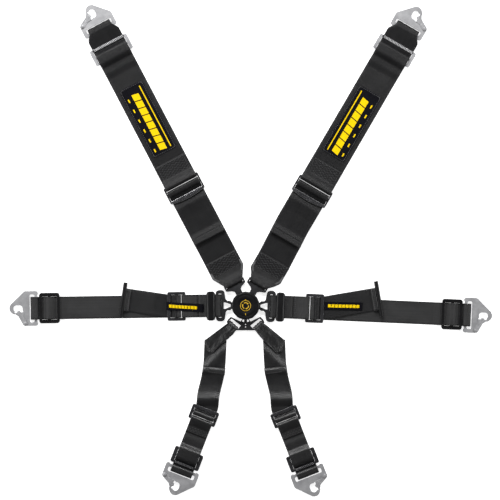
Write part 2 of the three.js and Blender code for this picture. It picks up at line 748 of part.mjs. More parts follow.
/** up is +1 or -1: the side of the belt's own +Y that the pull tail slants to. */
function addLapBelt(side, direction, { slide, grip, tilt, up }) {
  const belt = frameAt(0, 0, direction);
  const prefix = `${side}_lap`;
  const slotHalf = LAP_WIDTH / 2 + SIDE_PLAY;
  const adjuster = { from: LAP_ADJUSTER, bars: LAP_ADJUSTER_BARS, half: 31.7, slotHalf };
  const slideFrame = { from: slide, bars: LAP_SLIDE_BARS, half: 33.5, slotHalf, corner: 5 };
  addPiece(belt, `${prefix}_tongue`, lapTongue(), BLACK_STEEL);
  addPiece(belt, `${prefix}_stop_bar`, stopBar(), BLACK_PLASTIC);
  addPiece(belt, `${prefix}_inner_webbing`, lapInnerWebbing(), WEBBING);
  addPiece(belt, `${prefix}_adjuster`, barPlate(adjuster), BLACK_STEEL);
  addPiece(belt, `${prefix}_outer_webbing`, lapOuterWebbing(slide, grip, up * tilt), WEBBING);
  addPiece(belt, `${prefix}_grip_bar`, gripBar(grip, up * tilt), BLACK_PLASTIC);
  addPiece(belt, `${prefix}_slide`, barPlate(slideFrame), BLACK_PLASTIC);
  addHook(belt, prefix, slide + LAP_SLIDE_TO_HOOK, -up);
  harness.add(belt);
}

const leftLap = { slide: LEFT_LAP_SLIDE, grip: LEFT_GRIP, tilt: LEFT_TAIL_TILT, up: -1 };
const rightLap = { slide: RIGHT_LAP_SLIDE, grip: RIGHT_GRIP, tilt: RIGHT_TAIL_TILT, up: 1 };
addLapBelt('left', LEFT_LAP, leftLap);
addLapBelt('right', RIGHT_LAP, rightLap);

// ---------------------------------------------------------------- crotch straps

/** The strap's outline seen from above, along a middle line, with square ends. */
function planRibbon(middle, width) {
  return new THREE.Shape([...shifted(middle, width / 2), ...shifted(middle, -width / 2).reverse()]);
}

/** The upper strap: looped on the slanted bar, pleated, and wrapped round the adjuster. */
function crotchUpperWebbing(side, place) {
  const mirror = side === 'left' ? -1 : 1;
  const heading = radians(CROTCH_HEADING);
  const down = at(Math.cos(heading), Math.sin(heading));
  const adjuster = at(place.x, place.y);
  const along = (distance) => adjuster.clone().addScaledVector(down, distance);
  const leaning = (x, y) => at(x + CROTCH_LEAN[side], y);
  const bend = [leaning(74, -164), leaning(82, -196), along(-22), along(-14)];
  const route = [leaning(66.5, -78), leaning(67.5, -108), leaning(69, -136), ...bend];
  const tailRoute = [leaning(69.2, -137), ...bend];
  const pleat = [
    besideCrotchBar(12, CROTCH_LOOP_WIDTH / 2),
    leaning(89.5, -76.5),
    leaning(80.5, -113),
    leaning(41.5, -76),
    besideCrotchBar(12, -CROTCH_LOOP_WIDTH / 2),
  ];
  const barLoop = ribbon([
    at(32, LAYER_1),
    at(18, LAYER_1 + 0.2),
    ...arc(0, TONGUE_Z, LOOP, 285, 75, 9),
    at(9, TONGUE_Z + 3),
    at(20, LAYER_2 + 0.6),
    at(32, LAYER_2),
  ], CROTCH_LOOP_WIDTH);
  barLoop.rotateZ(radians(CROTCH_BAR.angle)).translate(CROTCH_BAR.x, CROTCH_BAR.y, 0);
  const wrap = ribbon([
    at(-20, LAYER_1),
    ...arc(1.2, BAR_Z, LOOP, -90, 90, 7),
    ...arc(0, BAR_Z, LOOP, 90, 165, 4),
    at(-8, LAYER_2),
    at(-20, LAYER_2),
  ], CROTCH_WIDTH);
  wrap.rotateZ(heading).translate(place.x, place.y, 0);
  const lowLayer = [LAYER_1 - WEB / 2, LAYER_1 + WEB / 2];
  const highLayer = [LAYER_2 - WEB / 2, LAYER_2 + WEB / 2];
  const strap = join(
    barLoop,
    wrap,
    slab(planRibbon(route, CROTCH_WIDTH), ...lowLayer),
    slab(new THREE.Shape(pleat), ...lowLayer),
    slab(new THREE.Shape(pleat), ...highLayer),
    slab(planRibbon(tailRoute, CROTCH_WIDTH), ...highLayer),
  );
  return mirror > 0 ? strap : mirroredSolid(strap);
}

/** The mirror image of a solid in the YZ plane, its faces still pointing out. */
function mirroredSolid(geometry) {
  const image = geometry.clone().scale(-1, 1, 1);
  const index = image.index.array;
  for (let i = 0; i < index.length; i += 3) {
    [index[i], index[i + 1]] = [index[i + 1], index[i]];
  }
  image.computeVertexNormals();
  return image;
}

/** The lower strap, sewn round the adjuster's last bar and threaded to the hook. */
function crotchLowerWebbing() {
  const bar = middleOf(CROTCH_ADJUSTER_BARS[2]);
  const rise = CROTCH_SLIDE_FROM - 1;
  const fall = CROTCH_SLIDE_FROM + CROTCH_SLIDE_BARS[1][1];
  const exit = CROTCH_SLIDE_FROM + CROTCH_SLIDE_BARS[2][1] + 2;
  const path = [
    at(bar + 34, LAYER_2),
    ...outwardLoop(bar),
    ...hookLoop(throughSlide(rise, fall, exit), CROTCH_TO_HOOK),
  ];
  return ribbon(path, CROTCH_WIDTH);
}

function addCrotchStrap(side, place) {
  const mirror = side === 'left' ? -1 : 1;
  const prefix = `${side}_crotch`;
  addPiece(harness, `${prefix}_upper_webbing`, crotchUpperWebbing(side, place), WEBBING);
  const heading = mirror > 0 ? CROTCH_HEADING : -180 - CROTCH_HEADING;
  const belt = frameAt(mirror * place.x, place.y, heading);
  const slotHalf = CROTCH_WIDTH / 2 + SIDE_PLAY;
  const adjuster = { from: 0, bars: CROTCH_ADJUSTER_BARS, half: 31, slotHalf };
  const slide = { from: CROTCH_SLIDE_FROM, bars: CROTCH_SLIDE_BARS, half: 33, slotHalf };
  addPiece(belt, `${prefix}_adjuster`, barPlate(adjuster), BLACK_STEEL);
  addPiece(belt, `${prefix}_lower_webbing`, crotchLowerWebbing(), WEBBING);
  addPiece(belt, `${prefix}_slide`, barPlate(slide), BLACK_STEEL);
  addHook(belt, prefix, CROTCH_TO_HOOK, mirror);
  harness.add(belt);
}

addPiece(harness, 'crotch_strap_tongue', crotchTongue(), BLACK_STEEL);
addCrotchStrap('left', CROTCH_ADJUSTER.left);
addCrotchStrap('right', CROTCH_ADJUSTER.right);

export default harness;
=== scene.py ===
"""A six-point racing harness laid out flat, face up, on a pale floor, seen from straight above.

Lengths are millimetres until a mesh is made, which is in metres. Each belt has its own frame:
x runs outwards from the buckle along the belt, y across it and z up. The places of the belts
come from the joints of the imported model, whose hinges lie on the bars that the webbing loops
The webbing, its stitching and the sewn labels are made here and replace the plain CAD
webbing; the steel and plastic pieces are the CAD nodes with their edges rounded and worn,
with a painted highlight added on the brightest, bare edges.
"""

import json
import math

import bmesh
import bpy
from mathutils import Matrix, Vector


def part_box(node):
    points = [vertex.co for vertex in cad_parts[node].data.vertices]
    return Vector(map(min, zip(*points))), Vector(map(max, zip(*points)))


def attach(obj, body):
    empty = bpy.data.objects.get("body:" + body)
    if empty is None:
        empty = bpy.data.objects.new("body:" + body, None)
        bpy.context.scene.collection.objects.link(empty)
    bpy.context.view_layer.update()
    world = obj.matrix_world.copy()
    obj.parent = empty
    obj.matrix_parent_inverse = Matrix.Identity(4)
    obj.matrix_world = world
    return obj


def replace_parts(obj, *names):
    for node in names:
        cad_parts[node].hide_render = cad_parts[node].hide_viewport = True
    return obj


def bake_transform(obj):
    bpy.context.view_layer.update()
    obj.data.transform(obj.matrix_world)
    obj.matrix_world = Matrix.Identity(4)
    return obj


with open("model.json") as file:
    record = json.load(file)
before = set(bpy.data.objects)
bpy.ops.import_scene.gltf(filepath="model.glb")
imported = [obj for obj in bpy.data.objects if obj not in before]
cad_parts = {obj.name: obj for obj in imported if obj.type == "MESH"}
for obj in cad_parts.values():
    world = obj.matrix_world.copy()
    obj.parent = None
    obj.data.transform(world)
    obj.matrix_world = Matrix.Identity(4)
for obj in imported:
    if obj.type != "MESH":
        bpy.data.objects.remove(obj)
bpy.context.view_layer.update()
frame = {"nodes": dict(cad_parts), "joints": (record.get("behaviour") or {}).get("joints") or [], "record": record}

MM = 0.001
WORLD = Matrix.Identity(4)
HINGES = {j["name"]: Vector(j["pos_m"]) / MM for j in frame["joints"] if "pos_m" in j}

# ------------------------------------------------------------------ driving dimensions

GAP = 0.3  # clearance between neighbouring pieces
WEB = 1.8  # thickness of one layer of webbing
SHOULDER_WIDTH = 76
LAP_WIDTH = 50
CROTCH_WIDTH = 49
LAYER_1 = GAP + WEB / 2  # height of the middle of the layer on the floor
LAYER_STEP = WEB + GAP
LAYER_2 = LAYER_1 + LAYER_STEP
PLATE = 3  # thickness of the steel hardware
BAR_Z = HINGES["left_shoulder_hook_swing"].z
TONGUE_Z = HINGES["left_shoulder_lower_swing"].z
LOOP = 4.8  # radius of a webbing loop round a bar, at the middle of the webbing
BAR_TOP = BAR_Z + PLATE / 2
OVER_BAR = BAR_TOP + GAP + WEB / 2

# shoulder belts, distances from the buckle's centre
SHOULDER_RETURN = 120  # end of the layer folded back from the tongue
SHOULDER_TAIL = 168  # hem of the pull tail
SHOULDER_OVERLAP = 361  # end of the upper belt's folded layer
SHOULDER_ADJUSTER_BARS = (3.2, 19.5, 35.8)  # middles, from the adjuster's inner edge
SHOULDER_SLIDE_BARS = ((0, 5), (13, 18), (30.5, 36))
SHOULDER_SLIDE_TO_HOOK = 69

LAP_ADJUSTER_BARS = (3.2, 20, 36.8)
LAP_SLIDE_BARS = ((0, 6), (19.5, 25.5), (39, 45))
LAP_SLIDE_TO_HOOK = 52.5
LAP_TAIL_TILT = {"left": -9, "right": 12}  # degrees between the tail and its belt
GRIP_R = 4.6
GRIP_Z = WEB + 2 * GAP + GRIP_R

CROTCH_PIVOT = 13.3  # middle of the adjuster's last bar, from the adjuster's middle
CROTCH_SLIDE = 84
CROTCH_SLIDE_BARS = ((0, 5), (15.5, 20.5), (31, 36))
CROTCH_BAR_TURN = 48  # degrees between each slanted bar's strap and the X axis
CROTCH_LOOP_WIDTH = 25
CROTCH_LEAN = {"left": 0, "right": -3.5}  # sideways shift of the upper strap

THREAD = 0.5  # radius of the sewing thread
STITCH = 3.4  # length of one stitch
STITCH_PITCH = 4.3
SEWN_Z = LAYER_2 + WEB / 2 + 0.15  # height of stitches on a folded-back layer

# ------------------------------------------------------------------ materials


class Nodes:
    """A material and short calls that add shader nodes to it."""

    def __init__(self, name):
        self.material = bpy.data.materials.new(name)
        self.material.use_nodes = True
        self.tree = self.material.node_tree
        self.shader = self.tree.nodes["Principled BSDF"]

    def add(self, kind, **inputs):
        node = self.tree.nodes.new("ShaderNode" + kind)
        for key, value in inputs.items():
            self.feed(node.inputs[key.replace("_", " ")], value)
        return node

    def feed(self, socket, value):
        if isinstance(value, bpy.types.NodeSocket):
            self.tree.links.new(value, socket)
        else:
            socket.default_value = value

    def math(self, operation, first, second=0.0):
        node = self.tree.nodes.new("ShaderNodeMath")
        node.operation = operation
        self.feed(node.inputs[0], first)
        self.feed(node.inputs[1], second)
        return node.outputs[0]

    def noise(self, scale, detail=3.0, roughness=0.6, stretch=(1, 1, 1)):
        """Grain in the piece's own frame, a scale of 1000 being a grain of about 1 mm."""
        place = self.add("TexCoord").outputs["Object"]
        mapping = self.add("Mapping", Vector=place, Scale=stretch)
        noise = self.add("TexNoise", Vector=mapping.outputs[0], Scale=scale, Detail=detail,
                         Roughness=roughness)
        return noise.outputs["Fac"]

    def ramp(self, factor, low, high, start=0.3, end=0.7):
        """A colour or grey level that goes from low to high as the factor does."""
        node = self.add("ValToRGB", Fac=factor)
        for stop, place, value in zip(node.color_ramp.elements, (start, end), (low, high)):
            stop.position = place
            grey = isinstance(value, (int, float))
            stop.color = (value, value, value, 1) if grey else (*value, 1)
        return node.outputs["Color"]

    def blend(self, factor, first, second):
        node = self.tree.nodes.new("ShaderNodeMix")
        node.data_type = "RGBA"
        self.feed(node.inputs["Factor"], factor)
        for socket, value in zip(node.inputs[6:8], (first, second)):
            self.feed(socket, value if isinstance(value, bpy.types.NodeSocket) else (*value, 1))
        return node.outputs[2]

    def bump(self, height, distance, strength=1.0, under=None):
        node = self.add("Bump", Height=height, Distance=distance, Strength=strength)
        if under is not None:
            self.feed(node.inputs["Normal"], under)
        return node.outputs["Normal"]

    def finish(self, colour, roughness, normal, **constants):
        self.feed(self.shader.inputs["Base Color"], colour)
        self.feed(self.shader.inputs["Roughness"], roughness)
        self.feed(self.shader.inputs["Normal"], normal)
        for key, value in constants.items():
            self.shader.inputs[key.replace("_", " ")].default_value = value
        return self.material


def woven(name, dark, light, shine, edge_tone=1.0, roughness=(0.42, 0.55)):
    """Webbing: ribs along the belt crossed by the picks of the weft, streaked and a little
    worn. edge_tone is how bright the selvedges are beside the rest."""
    rib, pick, relief = 1.5, 1.1, 0.35
    made = Nodes(name)
    cloth = made.add("UVMap")
    cloth.uv_map = "cloth"
    across = made.add("SeparateXYZ", Vector=cloth.outputs[0])
    along, side = across.outputs["X"], across.outputs["Y"]
    ribs = made.math("ABSOLUTE", made.math("SINE", made.math("MULTIPLY", side, math.pi / rib)))
    row = made.math("FLOOR", made.math("DIVIDE", side, rib))
    shift = made.math("MULTIPLY", row, math.pi / 2)
    turn = made.math("ADD", made.math("MULTIPLY", along, math.pi / pick), shift)
    picks = made.math("ABSOLUTE", made.math("SINE", turn))
    weave = made.math("MULTIPLY", ribs, made.math("ADD", made.math("MULTIPLY", picks, 0.6), 0.4))
    lengthwise = made.add("Mapping", Vector=cloth.outputs[0], Scale=(0.006, 0.4, 1))
    streaks = made.add("TexNoise", Vector=lengthwise.outputs[0], Scale=1.0, Detail=3.0)
    mottled = made.math("ADD", made.math("MULTIPLY", made.noise(26.0, 4.0), 0.5),
                        made.math("MULTIPLY", streaks.outputs["Fac"], 0.5))
    base = made.ramp(mottled, dark, light, 0.35, 0.65)
    # The raised yarns are lightened by the weave's height: a painted highlight on their tops.
    tone_with_weave_highlight = made.blend(made.math("MULTIPLY", weave, 0.4), base, tuple(1.8 * c for c in light))
    edge = made.add("Attribute")
    edge.attribute_name = "edge"
    selvedge = made.ramp(edge.outputs["Fac"], 0.0, 1.0, 0.82, 0.96)
    colour = made.blend(selvedge, tone_with_weave_highlight, tuple(edge_tone * c for c in light))
    normal = made.bump(weave, relief * MM, 0.5)
    soft = made.bump(made.noise(9.0, 2.0), 4 * MM, 0.35, normal)
    return made.finish(colour, made.ramp(mottled, *roughness), soft, Specular_IOR_Level=shine)


def grey(tone, blue):
    """A grey whose blue differs a little."""
    return tone, tone, blue


def sewn_thread():
    made = Nodes("bonded_thread")
    twist = made.add("TexWave", Vector=made.add("TexCoord").outputs["Object"], Scale=900.0)
    grain = made.noise(700.0)
    colour = made.ramp(grain, grey(0.02, 0.021), grey(0.07, 0.073))
    return made.finish(colour, 0.42, made.bump(twist.outputs["Fac"], 0.15 * MM))


def embroidered(name, dark, light, step):
    """Satin stitch: threads laid close together across a letterless block."""
    made = Nodes(name)
    cloth = made.add("UVMap")
    cloth.uv_map = "cloth"
    along = made.add("SeparateXYZ", Vector=cloth.outputs[0]).outputs["X"]
    threads = made.math("ABSOLUTE", made.math("SINE", made.math("MULTIPLY", along,
                                                                math.pi / step)))
    # Darker between the threads and lighter on their crowns: painted shade and painted highlight.
    colour = made.blend(threads, dark, light)
    return made.finish(colour, 0.6, made.bump(threads, 0.25 * MM, 0.6), Specular_IOR_Level=0.1)


def steel(name, dark, light, roughness, metallic, scratch=0.03):
    made = Nodes(name)
    cloudy = made.noise(60.0, 4.0)
    brushed = made.noise(900.0, 2.0, 0.5, (1, 6, 1))
    colour = made.ramp(cloudy, dark, light)
    rough = made.ramp(brushed, *roughness)
    pits = made.bump(made.noise(420.0, 4.0), scratch * MM, 0.8)
    return made.finish(colour, rough, made.bump(brushed, scratch * MM, 0.5, pits),
                       Metallic=metallic, Specular_IOR_Level=0.3)


def moulded(name, dark, light, roughness, shine=0.2):
    """Black plastic with the fine grain of its mould and faint rubbed patches."""
    made = Nodes(name)
    rubbed = made.noise(45.0, 4.0)
    colour = made.ramp(rubbed, dark, light)
    rough = made.ramp(rubbed, *roughness)
    return made.finish(colour, rough, made.bump(made.noise(1500.0, 2.0), 0.06 * MM, 0.7),
                       Specular_IOR_Level=shine)


SHOULDER_WEBBING = woven("shoulder_webbing", grey(0.003, 0.0034), grey(0.006, 0.0065), 0.25,
                         1.8, (0.36, 0.48))
LAP_WEBBING = woven("lap_webbing", grey(0.013, 0.0135), grey(0.025, 0.0255), 0.25, 0.35)
TAIL_WEBBING = woven("pull_tail_webbing", grey(0.005, 0.0055), grey(0.01, 0.0105), 0.25,
                     1.3)
CROTCH_WEBBING = woven("crotch_webbing", grey(0.002, 0.0024), grey(0.004, 0.0045), 0.7,
                       1.8, (0.26, 0.38))
# A copy of the webbing about ten times lighter: painted highlight for the folded rims.
FOLD_RIM_HIGHLIGHT = woven("webbing_fold_rim_painted_highlight", grey(0.035, 0.036), grey(0.07, 0.072), 0.3)
LABEL_CLOTH = woven("label_cloth", grey(0.002, 0.003), grey(0.004, 0.006), 0.05)
LABEL_EDGE = embroidered("label_border", grey(0.006, 0.008), (0.016, 0.015, 0.02), 0.8)
YELLOW = embroidered("yellow_thread", (0.72, 0.46, 0.0), (0.95, 0.66, 0.0), 0.7)
THREAD_BLACK = sewn_thread()
BLACK_STEEL = steel("black_steel", grey(0.024, 0.026), grey(0.042, 0.045), (0.4, 0.55), 0.6)
STEEL_EDGE = steel("black_steel_worn_edge", grey(0.05, 0.055), grey(0.17, 0.18),
                   (0.3, 0.45), 0.8)
# Bare steel at rubbed edges, made lighter still by a painted highlight along them.
BARE_EDGE_AND_HIGHLIGHT = steel("black_steel_bare_edge_and_painted_highlight", grey(0.2, 0.21), grey(0.5, 0.51), (0.3, 0.45),
                    0.8)
ZINC = steel("zinc_plate", grey(0.27, 0.28), grey(0.4, 0.41), (0.42, 0.58), 0.4, 0.08)
ZINC_EDGE = steel("zinc_worn_edge", grey(0.42, 0.43), grey(0.6, 0.61), (0.32, 0.45), 0.5)
BARE_STEEL = steel("bare_steel", grey(0.4, 0.41), grey(0.58, 0.6), (0.25, 0.4), 0.95)
BLACK_PLASTIC = moulded("black_plastic", grey(0.003, 0.0035), grey(0.006, 0.0065),
                        (0.3, 0.42))
PLASTIC_EDGE = moulded("black_plastic_rubbed_edge", grey(0.008, 0.0085),
                       grey(0.02, 0.021), (0.26, 0.36), 0.4)
GOLD_INK = moulded("gold_ink", (0.6, 0.36, 0.02), (0.85, 0.58, 0.06), (0.4, 0.5), 0.1)

# ------------------------------------------------------------------ mesh tools


def new_object(name, mesh, matrix, materials, slot):
    for material in materials:
        mesh.materials.append(material)
    piece = bpy.data.objects.new(name, mesh)
    bpy.context.scene.collection.objects.link(piece)
    piece.matrix_world = matrix
    return piece


def smooth(mesh):
    mesh.polygons.foreach_set("use_smooth", [True] * len(mesh.polygons))


def smooth_mesh(name, vertices, faces):
    mesh = bpy.data.meshes.new(name)
    mesh.from_pydata(vertices, [], faces)
    smooth(mesh)
    return mesh


def arc(x, z, radius, start, end, steps=14):
    """Points (x, z) of an arc between two angles in degrees."""
    points = []
    for i in range(steps + 1):
        angle = math.radians(start + (end - start) * i / steps)
        points.append((x + radius * math.cos(angle), z + radius * math.sin(angle)))
    return points


def softened(path, reach=3.0, sharp=6.0):
    """The path with each corner sharper than a few degrees replaced by a short curve."""
    points = [Vector(p) for p in path]
    made = [points[0]]
    for before, corner, after in zip(points, points[1:], points[2:]):
        inward, outward = before - corner, after - corner
        turn = 180 - math.degrees(inward.angle(outward, math.pi))
        if turn < sharp:
            made.append(corner)
            continue
        start = corner + inward.normalized() * min(reach, 0.45 * inward.length)
        end = corner + outward.normalized() * min(reach, 0.45 * outward.length)
        for t in (0.0, 0.25, 0.5, 0.75, 1.0):
            made.append((1 - t) ** 2 * start + 2 * t * (1 - t) * corner + t * t * end)
    return made + [points[-1]]


def spaced(points, step):
    """The same polyline with no segment longer than step."""
    made = [points[0]]
    for a, b in zip(points, points[1:]):
        pieces = max(1, math.ceil((b - a).length / step))
        made += [a.lerp(b, i / pieces) for i in range(1, pieces + 1)]
    return made


# across a strap's section: place from -1 to 1, height from -1 to 1 of half its thickness
TOP = [(-1, 0), (-0.99, 0.62), (-0.965, 1), (-0.9, 1)]
TOP += [(i / 5, 1) for i in range(-4, 5)] + [(0.9, 1), (0.965, 1), (0.99, 0.62)]
SECTION = TOP + [(-v, -n) for v, n in TOP]


def flat(place):
    return 0.0


def strap(name, rows, matrix, body, material, thickness=WEB, full=None, billow=0.22, relief=flat,
          replaces=()):
    """A woven strap through rows of (centre, unit vector across, half width).

    full is the webbing's flat half width: where a row is narrower, the webbing gathers in
    pleats. billow is the height of the slow waves that webbing laid on a table keeps, and
    relief gives the height by which the strap is lifted at a place.
    """
    vertices, faces, cloth, edges = [], [], [], []
    count, length = len(SECTION), 0.0
    for i, (centre, across, half) in enumerate(rows):
        ahead = rows[min(i + 1, len(rows) - 1)][0] - rows[max(i - 1, 0)][0]
        up = across.cross(ahead).normalized() * -1
        if i:
            length += (centre - rows[i - 1][0]).length
        wide = half if full is None else full
        pleat = 1.3 * max(0.0, 1 - half / wide)
        for v, n in SECTION:
            wave = math.sin(length / 11.0 + 1.7 * v) * math.cos(length / 23.0 - 2.1 * v)
            lift = billow * wave * (1 - abs(v) ** 4) + pleat * math.sin(v * 11.0)
            place = centre + across * (v * half) + up * (n * thickness / 2 + lift)
            place.z += relief(place)
            vertices.append(place * MM)
            cloth.append((length, v * wide))
            edges.append(abs(v))
        if i:
            for j in range(count):
                a, b = (i - 1) * count + j, (i - 1) * count + (j + 1) % count
                faces.append((a, b, b + count, a + count))
    faces.append(tuple(reversed(range(count))))
    faces.append(tuple(range(len(vertices) - count, len(vertices))))
    mesh = smooth_mesh(name, vertices, faces)
    layer = mesh.uv_layers.new(name="cloth")
    for loop in mesh.loops:
        layer.data[loop.index].uv = cloth[loop.vertex_index]
    edge = mesh.attributes.new("edge", "FLOAT", "POINT")
    edge.data.foreach_set("value", edges)
    made = bmesh.new()
    made.from_mesh(mesh)
    bmesh.ops.recalc_face_normals(made, faces=made.faces)
    made.to_mesh(mesh)
    made.free()
    piece = new_object(name, mesh, matrix, [material], "webbing")
    if body is not None:
        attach(piece, body)
    if replaces:
        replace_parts(piece, *replaces)
    return piece


def level(value_at, places):
    """Straight-line interpolation in a list of (place, value)."""
    if value_at <= places[0][0]:
        return places[0][1]
    for (a, low), (b, high) in zip(places, places[1:]):
        if value_at <= b:
            return low + (high - low) * (value_at - a) / (b - a)
    return places[-1][1]


def belt_rows(path, half, middle=None, step=5.0):
    """Rows of a strap whose middle line is a path of (x, z) in a belt's frame."""
    across = Vector((0, 1, 0))
    rows = []
    for x, z in spaced(softened(path), step):
        width = half if isinstance(half, (int, float)) else level(x, half)
        side = middle(x) if middle else 0.0
        rows.append((Vector((x, side, z)), across, width))
    return rows


def stitches(name, lines, height, matrix, body):
    """Raised stitches along lines of (x, y) points, lying on webbing at one height."""
    vertices, faces = [], []
    sides = 5
    rings = ((-0.5, 0.25, -0.7), (-0.3, 0.9, 0.0), (0.3, 0.9, 0.0), (0.5, 0.25, -0.7))
    for line in lines:
        points = [Vector(p) for p in line]
        for a, b in zip(points, points[1:]):
            count = max(1, round((b - a).length / STITCH_PITCH))
            heading = (b - a).normalized()
            side = Vector((-heading.y, heading.x))
            for k in range(count):
                middle = a.lerp(b, (k + 0.5) / count)
                base = len(vertices)
                for t, size, drop in rings:
                    for s in range(sides):
                        angle = 2 * math.pi * s / sides
                        off = side * (math.cos(angle) * size * THREAD)
                        z = height + (math.sin(angle) * size + drop) * THREAD
                        place = middle + heading * (t * STITCH) + off
                        vertices.append(Vector((place.x, place.y, z)) * MM)
                for r in range(len(rings) - 1):
                    for s in range(sides):
                        p, q = base + r * sides + s, base + r * sides + (s + 1) % sides
                        faces.append((p, q, q + sides, p + sides))
    mesh = smooth_mesh(name, vertices, faces)
    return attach(new_object(name, mesh, matrix, [THREAD_BLACK], "webbing"), body)


def zigzag(x0, x1, half, rows):
    """A sewn frame between two places along a belt, filled with rows of zigzag sewing."""
    lines = [[(x0, -half), (x0, half), (x1, half), (x1, -half), (x0, -half)]]
    step = (x1 - x0) / rows
    turns = 12
    for row in range(rows):
        near, far = x0 + step * (row + 0.1), x0 + step * (row + 0.9)
        lines.append([(near if i % 2 else far, -half + 2 * half * i / turns)
                      for i in range(turns + 1)])
    return lines


def round_edges(piece, width, corner):
    """Round the edges sharper than corner degrees; the rounding takes the second material."""
    rounding = piece.modifiers.new("rounded_edges", "BEVEL")
    rounding.width = width * MM
    rounding.segments = 2
    rounding.limit_method = "ANGLE"
    rounding.angle_limit = math.radians(corner)
    if len(piece.data.materials) > 1:
        rounding.material = 1


def raised(name, outlines, low, high, matrix, materials, slot, body, bevel=0.35, cloth=False):
    """Closed outlines of (x, y) raised from one height to another, with rounded edges."""
    made = bmesh.new()
    layer = made.loops.layers.uv.new("cloth") if cloth else None
    for outline in outlines:
        corners = [made.verts.new((x * MM, y * MM, low * MM)) for x, y in outline]
        face = made.faces.new(corners)
        face.normal_update()
        if face.normal.z > 0:
            face.normal_flip()
        lifted = bmesh.ops.extrude_face_region(made, geom=[face])["geom"]
        tops = [g for g in lifted if isinstance(g, bmesh.types.BMVert)]
        bmesh.ops.translate(made, verts=tops, vec=(0, 0, (high - low) * MM))
    bmesh.ops.recalc_face_normals(made, faces=made.faces)
    if layer is not None:
        for face in made.faces:
            for loop in face.loops:
                loop[layer].uv = (loop.vert.co.x / MM, loop.vert.co.y / MM)
    mesh = bpy.data.meshes.new(name)
    made.to_mesh(mesh)
    made.free()
    piece = new_object(name, mesh, matrix, materials, slot)
    if bevel:
        round_edges(piece, bevel, 35)
    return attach(piece, body)


def rounded_outline(x0, x1, y0, y1, radius, steps=4):
    corners = ((x1, y1, 0), (x0, y1, 90), (x0, y0, 180), (x1, y0, 270))
    points = []
    for x, y, start in corners:
        inward_x = -radius if x == x1 else radius
        inward_y = -radius if y == y1 else radius
        points += arc(x + inward_x, y + inward_y, radius, start, start + 90, steps)
    return points


def finished_node(node, body, width, face, edge, slot):
    """A CAD node's own shape with rounded edges, which take the edge material that it is given."""
    mesh = frame["nodes"][node].data.copy()
    mesh.materials.clear()
    made = bmesh.new()
    made.from_mesh(mesh)
    bmesh.ops.remove_doubles(made, verts=made.verts, dist=0.004 * MM)
    bmesh.ops.dissolve_limit(made, angle_limit=math.radians(1), verts=made.verts,
                             edges=made.edges)
    for face_made in made.faces:
        face_made.smooth = False
    made.to_mesh(mesh)
    made.free()
    piece = new_object(f"{node}_finished", mesh, WORLD, [face, edge], slot)
    round_edges(piece, width, 40)
    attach(piece, body)
    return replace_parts(piece, node)


def belt_frame(origin, towards):
    """(matrix in metres, length in millimetres) of a belt that points from origin."""
    heading = towards - origin
    angle = math.atan2(heading.y, heading.x)
    place = Matrix.Translation((origin.x * MM, origin.y * MM, 0))
    return place @ Matrix.Rotation(angle, 4, "Z"), math.hypot(heading.x, heading.y)


BUCKLE = Vector((0, 0, 0))


def reach(joint):
    """Distance of a hinge from the buckle's centre."""
    return HINGES[joint].to_2d().length


# ------------------------------------------------------------------ paths of the webbing


def shifted_path(path, distance):
    """A path of (x, z) points moved to its left by a distance."""
    points = [Vector(p) for p in path]
    made = []
    for i, point in enumerate(points):
        heading = points[min(i + 1, len(points) - 1)] - points[max(i - 1, 0)]
        heading.normalize()
        made.append((point.x - heading.y * distance, point.y + heading.x * distance))
    return made


def tongue_loop(bar, spread, slack=0.0):
    """From the folded-back layer, round the tongue's bar, down to the floor layer."""
    return [
        (bar + spread, LAYER_2),
        (bar + 18, LAYER_2 + 2.2),
        (bar + 8, TONGUE_Z + 3.2),
        *arc(bar - slack, TONGUE_Z, LOOP, 75, 285),
        (bar + 12, LAYER_1 + 0.2),
        (bar + 20, LAYER_1),
    ]


def outward_loop(bar):
    """Round an adjuster's bar so that both layers leave outwards, folded layer first."""
    return [
        (bar + 18, LAYER_2),
        (bar + 8, BAR_Z + 3),
        *arc(bar, BAR_Z, LOOP, 75, 270),
        (bar + 10, LAYER_1),
    ]


def through_slide(rise, fall, leave):
    """The lower of the two layers that pass over a slide's bars from rise to fall."""
    run = 8
    return [
        (rise - run - 14, LAYER_1),
        (rise - run, LAYER_1),
        (rise - 0.5, OVER_BAR),
        (fall + 0.5, OVER_BAR),
        (fall + run + 1, LAYER_1),
        (leave, LAYER_1),
    ]


def hook_loop(under, hook):
    """From the slide out to the hook, round its bar and back under itself."""
    over = shifted_path(under, LAYER_STEP)
    last = Vector(over[-1]) - Vector((hook, BAR_Z))
    bearing = math.degrees(math.atan2(last.y, last.x)) + 360
    touch = bearing - math.degrees(math.acos(LOOP / last.length))
    slack = 6
    return [
        (under[0][0] - 14, LAYER_1),
        (under[0][0] - 2, LAYER_2),
        *over[1:],
        *arc(hook, BAR_Z, LOOP, touch, 90, 5),
        *arc(hook + slack, BAR_Z, LOOP, 90, -90, 12),
        *reversed(under),
    ]


# ------------------------------------------------------------------ labels

LABEL_THICKNESS = 1.0


def conforming(name, path, start, end, half, matrix, body, material, thickness):
    """A flat strip of cloth that follows a path of (x, z) heights. Its middle line runs from
    start to end, both (x, y), and half is its half width."""
    (x0, y0), (x1, y1) = start, end
    across = Vector((0, 1, 0))
    rows = []
    steps = max(2, round((x1 - x0) / 4))
    for i in range(steps + 1):
        t = i / steps
        x = x0 + (x1 - x0) * t
        rows.append((Vector((x, y0 + (y1 - y0) * t, level(x, path))), across, half))
    return strap(name, rows, matrix, body, material, thickness=thickness, billow=0.0)


